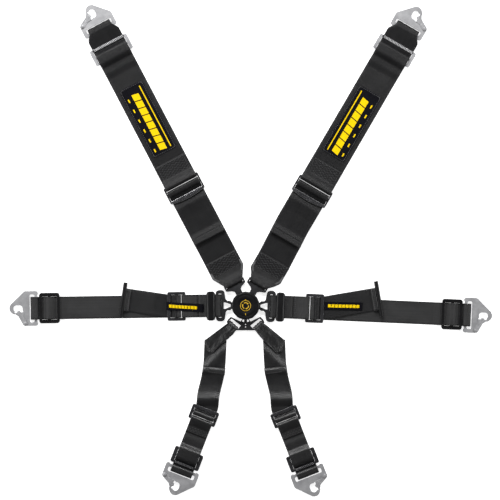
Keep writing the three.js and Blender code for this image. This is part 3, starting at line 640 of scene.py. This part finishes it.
def shoulder_patch(prefix, matrix, body, side):
    """A sewn patch: a long yellow line, a row of plain slanted blocks and small marks."""
    x0, x1, half = 380, 546, 28
    base = LAYER_1 + WEB / 2 + 0.1
    top = base + LABEL_THICKNESS
    raised(f"{prefix}_patch", [rounded_outline(x0, x1, -half, half, 5)], base, top, matrix,
           [LABEL_CLOTH, LABEL_EDGE], "webbing", body, 0.45, True)
    border = [rounded_outline(x0 + inset, x1 - inset, inset - half, half - inset, 4)
              for inset in (1.6, 2.6)]
    stitches(f"{prefix}_patch_border", [line + line[:1] for line in border], top, matrix, body)
    blocks, block_pitch, lean = [], 17.3, 3.0
    for i in range(8):
        start = x0 + 7 + i * block_pitch
        end = start + block_pitch - 2.2
        blocks.append([(start, -8), (end, -8), (end + lean, 8), (start + lean, 8)])
    blocks.append([(x0 + 7, -side * 18.6), (x1 - 9, -side * 18.6), (x1 - 9, -side * 16.2),
                   (x0 + 7, -side * 16.2)])
    for i in range(6):
        start = x0 + 10 + i * 24.5
        blocks.append([(start, side * 17), (start + 8, side * 17), (start + 8, side * 20),
                       (start, side * 20)])
    raised(f"{prefix}_patch_marks", blocks, top - 0.1, top + 0.4, matrix, [YELLOW], "webbing",
           body, 0.25, True)


def lap_label(prefix, matrix, body, path, start, end, marks):
    """A long narrow label with a band of plain yellow blocks, marks being the band's ends."""
    half, block_half, block_thickness = 9, 3.4, 0.5
    count, between = 9, 0.9
    pieces = [conforming(f"{prefix}_label", path, start, end, half, matrix, body, LABEL_CLOTH,
                         LABEL_THICKNESS)]
    pitch = (marks[1] - marks[0]) / count
    lifted = [(x, z + (LABEL_THICKNESS + block_thickness) / 2) for x, z in path]

    def on_label(x):
        return x, level(x, [start, end])

    for i in range(count):
        near = marks[0] + i * pitch
        far = near + pitch - between
        pieces.append(conforming(f"{prefix}_label_block_{i + 1}", lifted, on_label(near),
                                 on_label(far), block_half, matrix, body, YELLOW,
                                 block_thickness))
    return pieces


def left_lap_label(matrix):
    """It lies over the adjuster, so it bends between the inner and the outer belt."""
    over = OVER_BAR + WEB + GAP
    path = [(88, LAYER_2 + 1.9), (118, LAYER_2 + 2.6), (130, over + 1.9), (153, over + 2.0),
            (165, over - 0.8), (176, over - 1.8)]
    for piece in lap_label("left_lap", matrix, None, path, (92, 5.3), (174, -1.3), (107, 169)):
        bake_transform(piece)


def right_lap_label(matrix):
    path = [(165, LAYER_2 + 2.0), (176, LAYER_2 + 2.2), (201, LAYER_2 + 4.3),
            (262, LAYER_2 + 2.6)]
    lap_label("right_lap", matrix, "right_lap_outer", path, (169, 6.5), (257, 8.5), (181, 251))


# ------------------------------------------------------------------ shoulder belts


def shoulder_belt(side, mouth):
    prefix = f"{side}_shoulder"
    matrix, hook = belt_frame(BUCKLE, HINGES[f"{prefix}_hook_swing"])
    bar = reach(f"{prefix}_lower_swing")
    pivot = reach(f"{prefix}_upper_swing")
    adjuster = pivot - SHOULDER_ADJUSTER_BARS[2]
    inner, middle = (adjuster + place for place in SHOULDER_ADJUSTER_BARS[:2])
    half = SHOULDER_WIDTH / 2
    lower = f"{prefix}_lower"
    upper = f"{prefix}_upper"

    slack = 4
    hem, curl = 13, 5.0
    tail_end = SHOULDER_TAIL + 1.2
    path = [
        (SHOULDER_RETURN, LAYER_2),
        *tongue_loop(bar, 30, 0.9),
        *arc(middle + slack, BAR_Z, LOOP, -90, 90),
        *arc(middle, BAR_Z, LOOP, 90, 165, 6),
        (inner + 5.6, LAYER_2),
        (adjuster - 3, LAYER_2),
        (adjuster - 16, LAYER_2 + 2.2),
        (adjuster - 40, LAYER_2 + 0.3),
        (tail_end + 22, LAYER_2),
        (tail_end, LAYER_2 + curl),
        *arc(tail_end, LAYER_2 + curl + LAYER_STEP / 2, LAYER_STEP / 2, 270, 90, 6),
        (tail_end + hem, LAYER_2 + 0.45 * curl + LAYER_STEP),
    ]
    sideways = 0 if side == "left" else -4.5

    def middle_line(x):
        return level(x, [(bar - 6, 0), (bar + 12, sideways), (bar + 60, sideways), (bar + 150, 0)])

    knee = bar + (27 if side == "left" else 23)
    taper = [(bar - 10, 19.5), (bar - 3, 19.5), (knee, half), (middle + 10, half)]
    strap(f"{lower}_belt", belt_rows(path, taper, middle_line), matrix, lower, SHOULDER_WEBBING,
          full=half, replaces=[f"{lower}_webbing"])
    sewing = zigzag(86, SHOULDER_RETURN - 3, half - 5, 5)
    stitches(f"{lower}_sewing", [[(x, y + sideways) for x, y in line] for line in sewing],
             SEWN_Z, matrix, lower)
    folded_corners(lower, bar, half, sideways, matrix)

    slide = hook - SHOULDER_SLIDE_TO_HOOK
    leave = slide + SHOULDER_SLIDE_BARS[2][1] + 1.5
    under = through_slide(slide - 1, slide + SHOULDER_SLIDE_BARS[1][1], leave)
    path = [(SHOULDER_OVERLAP, LAYER_2), *outward_loop(pivot), *hook_loop(under, hook)]
    gather = [(pivot - 10, half), (hook - 15, 37.6), (hook - 8, 33.5), (hook - 4.5, 30.2),
              (hook, 27.4), (hook + 12.5, 26.8)]
    strap(f"{upper}_belt", belt_rows(path, gather), matrix, upper, SHOULDER_WEBBING, full=half,
          replaces=[f"{upper}_webbing"])
    stitches(f"{upper}_sewing", zigzag(pivot + 14, SHOULDER_OVERLAP - 4, half - 6, 6), SEWN_Z,
             matrix, upper)
    shoulder_patch(upper, matrix, upper, mouth)
    lever(prefix, adjuster, matrix, lower)
    hatched_bar(f"{prefix}_slide_hatching", slide + SHOULDER_SLIDE_BARS[2][0] + 0.4, 4.6, 39,
                BAR_TOP, matrix, upper, ZINC_EDGE, ZINC_EDGE, "hook_steel")
    return matrix, hook


def folded_corners(body, bar, half, sideways, matrix):
    """The corners of the belt folded under where it narrows to the tongue, seen as a rim."""
    base = LAYER_2 + WEB / 2
    for sign, word in ((1, "left"), (-1, "right")):
        rim = [(6.5, 21.6, 3.7), (14, 26.7, 2.4), (27, half - 3.2, 0.9), (40, half - 2.2, 0.2)]
        places = [Vector((bar + x, sign * y + sideways * min(1, max(0, x / 12)), base + z))
                  for x, y, z in rim]
        rows = []
        for i, place in enumerate(places):
            ahead = places[min(i + 1, len(rim) - 1)] - places[max(i - 1, 0)]
            rows.append((place, Vector((-ahead.y, ahead.x, 0)).normalized(), 2.0))
        # The rims take the lighter webbing as a painted highlight along the folded edges.
        strap(f"{body}_{word}_fold", rows, matrix, body, FOLD_RIM_HIGHLIGHT, thickness=1.3, billow=0)


def lever(prefix, adjuster, matrix, body):
    """The adjuster's gripping bar: knurled, its inner edge bowed out over the pull tail."""
    low, high = BAR_Z - PLATE / 2 + 0.2, BAR_TOP + 0.9
    half, bow = 39.5, 5.0
    count = 16
    inner = [(adjuster + 1 - bow * (1 - (2 * i / count - 1) ** 2), -half + 2 * half * i / count)
             for i in range(count + 1)]
    outline = inner + [(adjuster + 6.2, half), (adjuster + 6.2, -half)]
    # Its rounded edges are bare steel lightened further by a painted highlight.
    raised(f"{prefix}_adjuster_grip", [outline], low, high, matrix, [BLACK_STEEL, BARE_EDGE_AND_HIGHLIGHT],
           "black_steel", body, 0.5)
    ribs = []
    for i in range(20):
        y = -half + 3 + i * (2 * half - 6) / 19
        lead = adjuster + 2.4 - bow * (1 - (y / half) ** 2)
        ribs.append([(lead, y - 0.9), (lead + 3.8, y - 0.9), (lead + 3.8, y + 0.9),
                     (lead, y + 0.9)])
    raised(f"{prefix}_adjuster_knurling", ribs, high - 0.1, high + 0.6, matrix,
           [BLACK_STEEL, STEEL_EDGE], "black_steel", body, 0.35)


def hatched_bar(name, start, width, half, height, matrix, body, face, edge, slot):
    """Slanted ridges pressed into a bar so that the webbing doesn't creep over it."""
    groove_shade_outline = rounded_outline(start, start + width, -half, half, 0.8)
    # A dark strip under the ridges, standing for the shade in the grooves between them: painted shade.
    raised(f"{name}_groove_painted_shade", [groove_shade_outline], height - 0.2, height + 0.1, matrix, [BLACK_STEEL], slot,
           body, 0.0)
    pitch, lean = 3.6, 1.8
    count = int(2 * half / pitch) - 1
    ridges = []
    for i in range(count):
        y = -half + pitch * (i + 0.6)
        ridges.append([(start, y), (start + width, y + lean), (start + width, y + lean + 1.7),
                       (start, y + 1.7)])
    raised(name, ridges, height - 0.1, height + 0.55, matrix, [face, edge], slot, body, 0.35)


# ------------------------------------------------------------------ lap belts


def lap_belt(side):
    prefix = f"{side}_lap"
    inner, outer = f"{prefix}_inner", f"{prefix}_outer"
    matrix, hook = belt_frame(BUCKLE, HINGES[f"{prefix}_hook_swing"])
    bar = reach(f"{prefix}_inner_swing")
    pivot = reach(f"{prefix}_outer_swing")
    adjuster = pivot - LAP_ADJUSTER_BARS[0]
    middle, last = (adjuster + place for place in LAP_ADJUSTER_BARS[1:])
    half = LAP_WIDTH / 2

    path = [
        (bar + 41, LAYER_2),
        *tongue_loop(bar, 28, 3.6),
        (pivot - 12, LAYER_1),
        *arc(pivot, BAR_Z, LOOP, -90, 105),
        (pivot - 9, BAR_Z + 2.6),
        (pivot - 20, LAYER_2),
        (bar + 43, LAYER_2),
    ]
    strap(f"{inner}_belt", belt_rows(path, half), matrix, inner, LAP_WEBBING,
          replaces=[f"{inner}_webbing"])
    sewn = [[(x, 3 - half), (x, half - 3)] for x in (bar + 27, bar + 30, bar + 44, bar + 47)]
    stitches(f"{inner}_sewing", sewn, SEWN_Z, matrix, inner)

    slide = hook - LAP_SLIDE_TO_HOOK
    rise, fall = (slide + edge for edge in LAP_SLIDE_BARS[1])
    under = through_slide(rise, fall, slide + LAP_SLIDE_BARS[2][1] + 1.6)
    slack = 4.5
    path = [(middle + 1, OVER_BAR + 0.3), *arc(middle - slack, BAR_Z, LOOP, 90, 270),
            (middle + 8, LAYER_1), *hook_loop(under, hook)]
    strap(f"{outer}_belt", belt_rows(path, half), matrix, outer, LAP_WEBBING,
          replaces=[f"{outer}_webbing"])
    pull_tail(side, prefix, middle, last, matrix, outer, half)
    return matrix, hook


def pull_tail(side, prefix, middle, last, matrix, body, half):
    """The free end of the lap belt, lying on it at a slant, sewn to the rod at its end."""
    tilt = math.radians(LAP_TAIL_TILT[side])
    start = last - 6
    low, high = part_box(f"{prefix}_grip_bar")
    rod = (matrix.inverted() @ ((low + high) / 2)).x / MM
    path = [
        *arc(middle, BAR_Z, LOOP, 90, 15, 8),
        (last - 5.6, LAYER_2),
        (last + 6, LAYER_2),
        (last + 32, LAYER_2 + 2.2),
        (rod - 34, LAYER_2 + 0.6),
        (rod - 16, LAYER_2 + 0.6),
        (rod - GRIP_R - 4, GRIP_Z - 1.2),
        (rod - GRIP_R + 0.4, GRIP_Z - 1),
    ]
    turned = Vector((-math.sin(tilt), math.cos(tilt), 0))

    def slanted(points, half_width):
        rows = []
        for x, z in spaced(softened(points), 5.0):
            lean = min(1.0, max(0.0, (x - start) / 60))
            across = Vector((0, 1, 0)).lerp(turned, lean).normalized()
            drift = math.tan(tilt) * max(0.0, x - start)
            rows.append((Vector((x, drift, z)), across, half_width))
        return rows

    strap(f"{prefix}_pull_tail", slanted(path, half), matrix, body, TAIL_WEBBING)
    fold = [(rod - 15, LAYER_2 + 0.8 + LAYER_STEP), (rod - GRIP_R - 4, GRIP_Z - 1.2 + LAYER_STEP),
            (rod - GRIP_R + 0.4, GRIP_Z - 0.8 + LAYER_STEP)]
    strap(f"{prefix}_tail_fold", slanted(fold, half - 0.6), matrix, body, CROTCH_WEBBING)
    centre = Vector((rod, math.tan(tilt) * (rod - start), 0))
    outward = Vector((math.cos(tilt), math.sin(tilt), 0))
    lines = []
    for back in (9.0, 12.0):
        foot = centre - outward * back
        lines.append([(foot + turned * (3 - half)).to_2d(), (foot + turned * (half - 3)).to_2d()])
    stitches(f"{prefix}_tail_sewing", lines, GRIP_Z - 1.2 + LAYER_STEP + WEB / 2, matrix, body)


# ------------------------------------------------------------------ crotch straps


def lying_rows(points, half, sense):
    """Rows of a strap that lies on the floor and turns as it goes; sense is -1 on its way
    back, so that the strap isn't twisted at the turn."""
    rows = []
    for i, place in enumerate(points):
        run = (points[min(i + 2, len(points) - 1)] - points[max(i - 2, 0)]).to_2d().normalized()
        rows.append((place, Vector((-run.y, run.x, 0)) * sense, half))
    return rows


def pleat_top(prefix, body, beside_bar, corners, half):
    """The strap from the slanted bar, spreading to the diagonal fold that turns it down."""
    corner_out, corner_in, pleat_end = corners
    narrow = CROTCH_LOOP_WIDTH / 2
    across = (beside_bar(0, 1) - beside_bar(0, -1)).normalized()
    loop = [(30, LAYER_1), (18, LAYER_1 + 0.2), *arc(0, TONGUE_Z, LOOP, 285, 80)]
    rows = [(beside_bar(x, 0) + Vector((0, 0, z)), across, narrow)
            for x, z in spaced([Vector(p) for p in softened(loop)], 4.0)]
    spread = [(beside_bar(4, narrow), beside_bar(4, -narrow), TONGUE_Z + LOOP - 0.6),
              (beside_bar(14, narrow + 2), beside_bar(14, -narrow - 1), LAYER_2 + 3.4),
              (corner_out, corner_in, LAYER_2 + 1.6),
              (corner_out.lerp(pleat_end, 0.93), corner_in.lerp(pleat_end, 0.93), LAYER_2 + 0.9)]
    steps = 7
    for (left, right, z0), (next_left, next_right, z1) in zip(spread, spread[1:]):
        for i in range(steps):
            t = i / steps
            a, b = left.lerp(next_left, t), right.lerp(next_right, t)
            place = (a + b) / 2 + Vector((0, 0, z0 + (z1 - z0) * t))
            rows.append((place, (a - b).normalized(), (a - b).length / 2))

    def crumple(place):
        """A crease runs straight down from the bar, among smaller ones."""
        crease = 1.8 * math.exp(-(((abs(place.x) - 48) / 2.6) ** 2))
        return crease + 0.9 * math.sin(place.x / 4.5) * math.cos(place.y / 6.0)

    strap(f"{prefix}_pleat", rows, WORLD, body, CROTCH_WEBBING, full=half,
          billow=0.0, relief=crumple, replaces=[f"{body}_webbing"])
    seams = [[beside_bar(x, -9).to_2d(), beside_bar(x, 9).to_2d()] for x in (12, 15)]
    stitches(f"{prefix}_bar_sewing", seams, LAYER_2 + 4.4 + WEB / 2, WORLD, body)


def crotch_strap(side, mirror):
    """Points are written for a strap on the right; mirror is -1 for the left one."""
    prefix = f"{side}_crotch"
    upper, lower = f"{prefix}_upper", f"{prefix}_lower"
    bar = HINGES[f"{prefix}_upper_swing"]
    pivot_at, hook_at = HINGES[f"{prefix}_lower_swing"], HINGES[f"{prefix}_hook_swing"]
    heading = (hook_at - pivot_at).normalized()
    adjuster = pivot_at - heading * CROTCH_PIVOT
    adjuster.z = 0
    half = CROTCH_WIDTH / 2
    matrix, _ = belt_frame(adjuster, hook_at)

    def leaning(x, y):
        return Vector((mirror * (x + CROTCH_LEAN[side]), y, 0))

    def beside_bar(outward, along):
        turn = math.radians(-CROTCH_BAR_TURN)
        x = outward * math.cos(turn) - along * math.sin(turn)
        y = outward * math.sin(turn) + along * math.cos(turn)
        return Vector((bar.x + mirror * x, bar.y + y, 0))

    def down(distance):
        return adjuster + heading * distance

    corner_out, corner_in = leaning(89.5, -76.5), leaning(41.5, -76)
    pleat_end = leaning(80.5, -113)
    fold = (pleat_end - corner_in).normalized()
    below = Vector((-fold.y, fold.x, 0))
    below *= -1 if below.y > 0 else 1

    def waves(place):
        """Webbing that was folded and pulled tight stays lifted below the pleat and just
        above the adjuster."""
        past = (place - corner_in).dot(below)
        crease = level(past, [(0, 0), (13, 4.2), (19, 3.4), (30, 0)])
        rise = level(-place.y, [(176, 0), (190, 2.2), (206, 7.0), (212, 5.6), (222, 0)])
        return crease * (place.y > -150) + rise

    pleat_top(prefix, upper, beside_bar, (corner_out, corner_in, pleat_end), half)
    run = [leaning(66.2, -76.5), leaning(67.5, -108), leaning(69, -136), leaning(74, -164),
           leaning(82, -196), down(-22), down(-10)]
    lie = spaced(softened([p + Vector((0, 0, LAYER_1)) for p in run], 12), 4.0)
    rows = lying_rows(lie, half, 1)
    sideways = Vector((-heading.y, heading.x, 0))
    loop = [*arc(1.2, BAR_Z, LOOP, -90, 90), *arc(0, BAR_Z, LOOP, 90, 165, 6), (-8, LAYER_2)]
    for x, z in loop:
        rows.append((down(x) + Vector((0, 0, z)), sideways, half))
    back = [down(-16), down(-22), leaning(82, -196), leaning(74, -164), leaning(70.4, -148)]
    heights = [LAYER_2, LAYER_2, LAYER_2, LAYER_2 + 0.5, LAYER_2 + 4.0]
    tail = [p + Vector((0, 0, z)) for p, z in zip(back, heights)]
    tail.append(leaning(69, -137) + Vector((0, 0, LAYER_2 + 1.4)))
    rows += lying_rows(spaced(softened(tail, 8), 4.0), half, -1)
    strap(f"{prefix}_upper_strap", rows, WORLD, upper, CROTCH_WEBBING, billow=0.3, relief=waves)
    hem = [leaning(68.9, -135.6) + Vector((0, 0, LAYER_2 + 2.6)),
           leaning(69.4, -140) + Vector((0, 0, LAYER_2 + 3.6 + WEB)),
           leaning(70.9, -150.5) + Vector((0, 0, LAYER_2 + 4.0 + WEB))]
    strap(f"{prefix}_tail_hem", lying_rows(spaced(softened(hem), 3.0), half + 0.6, 1), WORLD,
          upper, CROTCH_WEBBING, billow=0.0)
    turned = (hem[2] - hem[1]).normalized()
    turned = Vector((-turned.y, turned.x, 0))
    seam = leaning(70.5, -147.5)
    lines = [[seam + turned * (3 - half), seam + turned * (half - 3)]]
    stitches(f"{prefix}_hem_sewing", [[p.to_2d() for p in line] for line in lines],
             hem[2].z + WEB / 2, WORLD, upper)

    # the lower strap, sewn round the adjuster's last bar and threaded to the hook
    hook = (hook_at - adjuster).to_2d().length
    rise = CROTCH_SLIDE - 1
    fall = CROTCH_SLIDE + CROTCH_SLIDE_BARS[1][1]
    leave = CROTCH_SLIDE + CROTCH_SLIDE_BARS[2][1] + 2
    path = [(CROTCH_PIVOT + 34, LAYER_2), *outward_loop(CROTCH_PIVOT),
            *hook_loop(through_slide(rise, fall, leave), hook)]
    strap(f"{lower}_belt", belt_rows(path, half), matrix, lower, CROTCH_WEBBING,
          replaces=[f"{lower}_webbing"])
    stitches(f"{lower}_sewing", zigzag(CROTCH_PIVOT + 15, CROTCH_PIVOT + 31, half - 4, 2), SEWN_Z,
             matrix, lower)
    # The ridges' rounded edges are bare steel with a painted highlight.
    hatched_bar(f"{prefix}_slide_hatching", CROTCH_SLIDE + CROTCH_SLIDE_BARS[2][0] + 0.4, 4.2,
                24.5, BAR_TOP, matrix, lower, BLACK_STEEL, BARE_EDGE_AND_HIGHLIGHT, "black_steel")
    return matrix, hook


# ------------------------------------------------------------------ snap hooks

RIVET = Vector((23.5, 33))
GATE_TIP = Vector((37.5, 9.5))
GATE_TOP = BAR_TOP + GAP + 1


def hook_details(prefix, matrix, hook, mouth):
    """The pressed U and the cheek on the gate, and the domed head of its rivet."""
    run = (GATE_TIP - RIVET).normalized()
    side = Vector((-run.y, run.x))
    outline = []
    foot, bend = RIVET + run * 8, GATE_TIP - run * 1.5
    for wide, order in ((3.2, 1), (2.2, -1)):
        turned = [bend + run * (wide * math.sin(a)) + side * (wide * math.cos(a))
                  for a in (math.radians(45 * k) for k in range(1, 4))]
        points = [foot + side * wide, bend + side * wide, *turned, bend - side * wide,
                  foot - side * wide]
        outline += points[::order]
    placed = [(hook + p.x, mouth * p.y) for p in outline]
    raised(f"{prefix}_gate_emboss", [placed], GATE_TOP - 0.1, GATE_TOP + 0.4, matrix,
           [ZINC, ZINC_EDGE], "hook_steel", f"{prefix}_gate", 0.2)
    cheek = [(27.0, 8.0), (45.6, 8.6), (44.6, 13.4), (34.0, 19.5), (26.0, 24.0)]
    placed = [(hook + x, mouth * y) for x, y in cheek]
    raised(f"{prefix}_gate_cheek", [placed], GATE_TOP - 1, GATE_TOP + 0.1, matrix,
           [ZINC, ZINC_EDGE], "hook_steel", f"{prefix}_gate", 0.4)
    dome = bpy.data.meshes.new(f"{prefix}_rivet_dome")
    made = bmesh.new()
    bmesh.ops.create_uvsphere(made, u_segments=20, v_segments=10, radius=4.0 * MM)
    bmesh.ops.scale(made, vec=(1, 1, 0.3), verts=made.verts)
    made.to_mesh(dome)
    made.free()
    smooth(dome)
    place = matrix @ Matrix.Translation(((hook + RIVET.x) * MM, mouth * RIVET.y * MM, 10.0 * MM))
    piece = new_object(f"{prefix}_rivet_dome", dome, place, [ZINC], "hook_steel")
    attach(piece, f"{prefix}_hook")


# ------------------------------------------------------------------ buckle

KNOB_R = 30.8
KNOB_LOW = 17.0
KNOB_TOP = 29.0
DISH_R = 15.0
SCALLOPS = 12
SCALLOP_DEPTH = 0.5
SCALLOPS_FROM = 27.5  # radius at which the scallops begin


def turn_knob():
    """A satin black knob with finger scallops round its rim and a shallow dish on top."""
    profile = [(27.8, KNOB_LOW), (30.0, KNOB_LOW), (KNOB_R, KNOB_LOW + 1.2),
               (KNOB_R, KNOB_TOP - 4.2), *arc(KNOB_R - 4, KNOB_TOP - 4, 4, 0, 90, 8),
               (24.0, KNOB_TOP), (23.4, KNOB_TOP - 0.35), (22.8, KNOB_TOP), (16.2, KNOB_TOP),
               (DISH_R, KNOB_TOP - 0.7), (DISH_R - 1, KNOB_TOP - 0.8)]
    segments = 120
    vertices, faces = [], []
    for i in range(segments):
        angle = 2 * math.pi * i / segments
        scallop = SCALLOP_DEPTH * (0.5 - 0.5 * math.cos(SCALLOPS * angle))
        for radius, z in profile:
            rim = max(0.0, (radius - SCALLOPS_FROM) / (KNOB_R - SCALLOPS_FROM))
            r = (radius - scallop * rim) * MM
            vertices.append((r * math.cos(angle), r * math.sin(angle), z * MM))
    n = len(profile)
    for i in range(segments):
        for j in range(n - 1):
            a, b = i * n + j, ((i + 1) % segments) * n + j
            faces.append((a, b, b + 1, a + 1))
    faces.append(tuple(i * n + n - 1 for i in range(segments)))
    faces.append(tuple(i * n for i in reversed(range(segments))))
    name = "turn_knob_finished"
    mesh = smooth_mesh(name, vertices, faces)
    piece = new_object(name, mesh, WORLD, [BLACK_PLASTIC], "black_plastic")
    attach(piece, "knob")
    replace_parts(piece, "turn_knob")


def ring_band(radius, width, start, end, steps=48):
    """Outline of a flat arc band between two angles."""
    outer = arc(0, 0, radius + width / 2, start, end, steps)
    inner = arc(0, 0, radius - width / 2, end, start, steps)
    return outer + inner


def knob_marks():
    """Plain printed marks: a ring, three turn arrows inside it and a pointer outside."""
    low, high = KNOB_TOP - 0.75, KNOB_TOP - 0.45
    outlines = [ring_band(11.2, 0.9, 0, 180), ring_band(11.2, 0.9, 180, 360)]
    for turn in (90, 210, 330):
        outlines.append(ring_band(6.6, 1.6, turn - 40, turn + 34, 12))
        tip = Vector(arc(0, 0, 6.6, turn - 62, turn, 1)[0])
        wings = [Vector(arc(0, 0, r, turn - 40, turn, 1)[0]) for r in (4.4, 8.8)]
        outlines.append([tuple(tip), tuple(wings[1]), tuple(wings[0])])
    raised("knob_marks", outlines, low, high, WORLD, [GOLD_INK], "black_plastic",
           "knob", 0.0)
    pointers = [[(0, 14.6), (-1.3, 12.6), (1.3, 12.6)],
                [(-0.6, -20.5), (0.6, -20.5), (0.6, -16.6), (-0.6, -16.6)]]
    heights = (low, KNOB_TOP - 0.1)
    for word, outline, base in zip(("upper", "lower"), pointers, heights):
        raised(f"knob_{word}_mark", [outline], base, base + 0.3, WORLD, [GOLD_INK],
               "black_plastic", "knob", 0.0)


def pointer_tab():
    """The dark tab under the knob that marks its locked position, above the crotch tongue."""
    outline = [(-3, -30.3), (3, -30.3), (1.9, -37.5), (0, -39.5), (-1.9, -37.5)]
    raised("lock_pointer_tab", [outline], 9.4, 16.4, WORLD,
           [BLACK_PLASTIC, PLASTIC_EDGE], "black_plastic", "buckle", 0.5)


# ------------------------------------------------------------------ the CAD hardware


def finish_hardware():
    looks = {
        "black_steel": (BLACK_STEEL, STEEL_EDGE, 0.45),
        "hook_steel": (ZINC, ZINC_EDGE, 0.5),
        "black_plastic": (BLACK_PLASTIC, PLASTIC_EDGE, 0.6),
    }
    slots = {part["node"]: part["material_slot"] for part in frame["record"]["subparts"]}
    for body, nodes in frame["record"]["behaviour"]["bodies"].items():
        for node in nodes:
            slot = slots[node]
            if slot in looks and node != "turn_knob":
                face, edge, width = looks[slot]
                # The crotch adjusters' edges are bare steel and a painted highlight.
                if "crotch" in node and "adjuster" in node:
                    edge = BARE_EDGE_AND_HIGHLIGHT
                finished_node(node, body, width, face, edge, slot)
            if slot == "inner_steel":
                paint_node(frame["nodes"][node], BARE_STEEL)


def paint_node(node, material):
    node.data.materials.clear()
    node.data.materials.append(material)


# ------------------------------------------------------------------ the harness

for side, mouth in (("left", 1), ("right", -1)):
    place, hook = shoulder_belt(side, mouth)
    hook_details(f"{side}_shoulder", place, hook, mouth)

for side, mouth, label in (("left", 1, left_lap_label), ("right", -1, right_lap_label)):
    place, hook = lap_belt(side)
    hook_details(f"{side}_lap", place, hook, mouth)
    label(place)

for side, mirror in (("left", -1), ("right", 1)):
    place, hook = crotch_strap(side, mirror)
    hook_details(f"{side}_crotch", place, hook, mirror)

finish_hardware()
turn_knob()
knob_marks()
pointer_tab()

# ------------------------------------------------------------------ floor, light and camera

VIEW_CENTRE = Vector((9.7, 121.7, 6.0)) * MM
VIEW_WIDTH = 1.1  # metres of floor across the square picture
FLOOR_HALF = 40.0  # metres, so that the floor fills low views


def floor():
    made = Nodes("pale_floor")
    grain = made.ramp(made.noise(40.0), 0.88, 0.92)
    material = made.finish(grain, 0.9, made.bump(made.noise(300.0), 0.05 * MM, 0.2),
                           Specular_IOR_Level=0.1, Emission_Color=(1, 1, 1, 1),
                           Emission_Strength=0.7)
    mesh = bpy.data.meshes.new("floor")
    corners = [(x * FLOOR_HALF, y * FLOOR_HALF, 0) for x, y in ((-1, -1), (1, -1), (1, 1), (-1, 1))]
    mesh.from_pydata(corners, [], [(0, 1, 2, 3)])
    mesh.materials.append(material)
    plane = bpy.data.objects.new("floor", mesh)
    bpy.context.scene.collection.objects.link(plane)


def softbox(name, place, aim, size, power):
    lamp = bpy.data.lights.new(name, "AREA")
    lamp.shape = "RECTANGLE"
    lamp.size, lamp.size_y = size
    lamp.energy = power
    holder = bpy.data.objects.new(name, lamp)
    holder.location = place
    towards = Vector(aim) - Vector(place)
    holder.rotation_euler = towards.to_track_quat("-Z", "Y").to_euler()
    bpy.context.scene.collection.objects.link(holder)


def lighting():
    softbox("overhead", (0, 0.1, 3.8), (0, 0.1, 0), (2.6, 2.6), 5)
    softbox("key", (-0.4, 2.3, 1.9), (0, 0.1, 0), (1.9, 0.8), 92)
    softbox("left_side", (-2.2, 0.2, 1.3), (0, 0.1, 0), (1.2, 0.8), 28)
    softbox("right_side", (2.2, 0.3, 1.3), (0, 0.1, 0), (1.2, 0.8), 28)
    world = bpy.data.worlds.new("soft_room")
    world.use_nodes = True
    background = world.node_tree.nodes["Background"]
    background.inputs["Color"].default_value = (1, 1, 1, 1)
    background.inputs["Strength"].default_value = 0.16
    bpy.context.scene.world = world
    bpy.context.scene.view_settings.view_transform = "Standard"


def camera():
    data = bpy.data.cameras.new("from_above")
    data.lens = 100
    data.sensor_width = 36
    holder = bpy.data.objects.new("from_above", data)
    height = VIEW_WIDTH * data.lens / data.sensor_width
    holder.location = VIEW_CENTRE + Vector((0, 0, height))
    data.clip_end = 20
    bpy.context.scene.collection.objects.link(holder)
    bpy.context.scene.camera = holder


floor()
lighting()
camera()
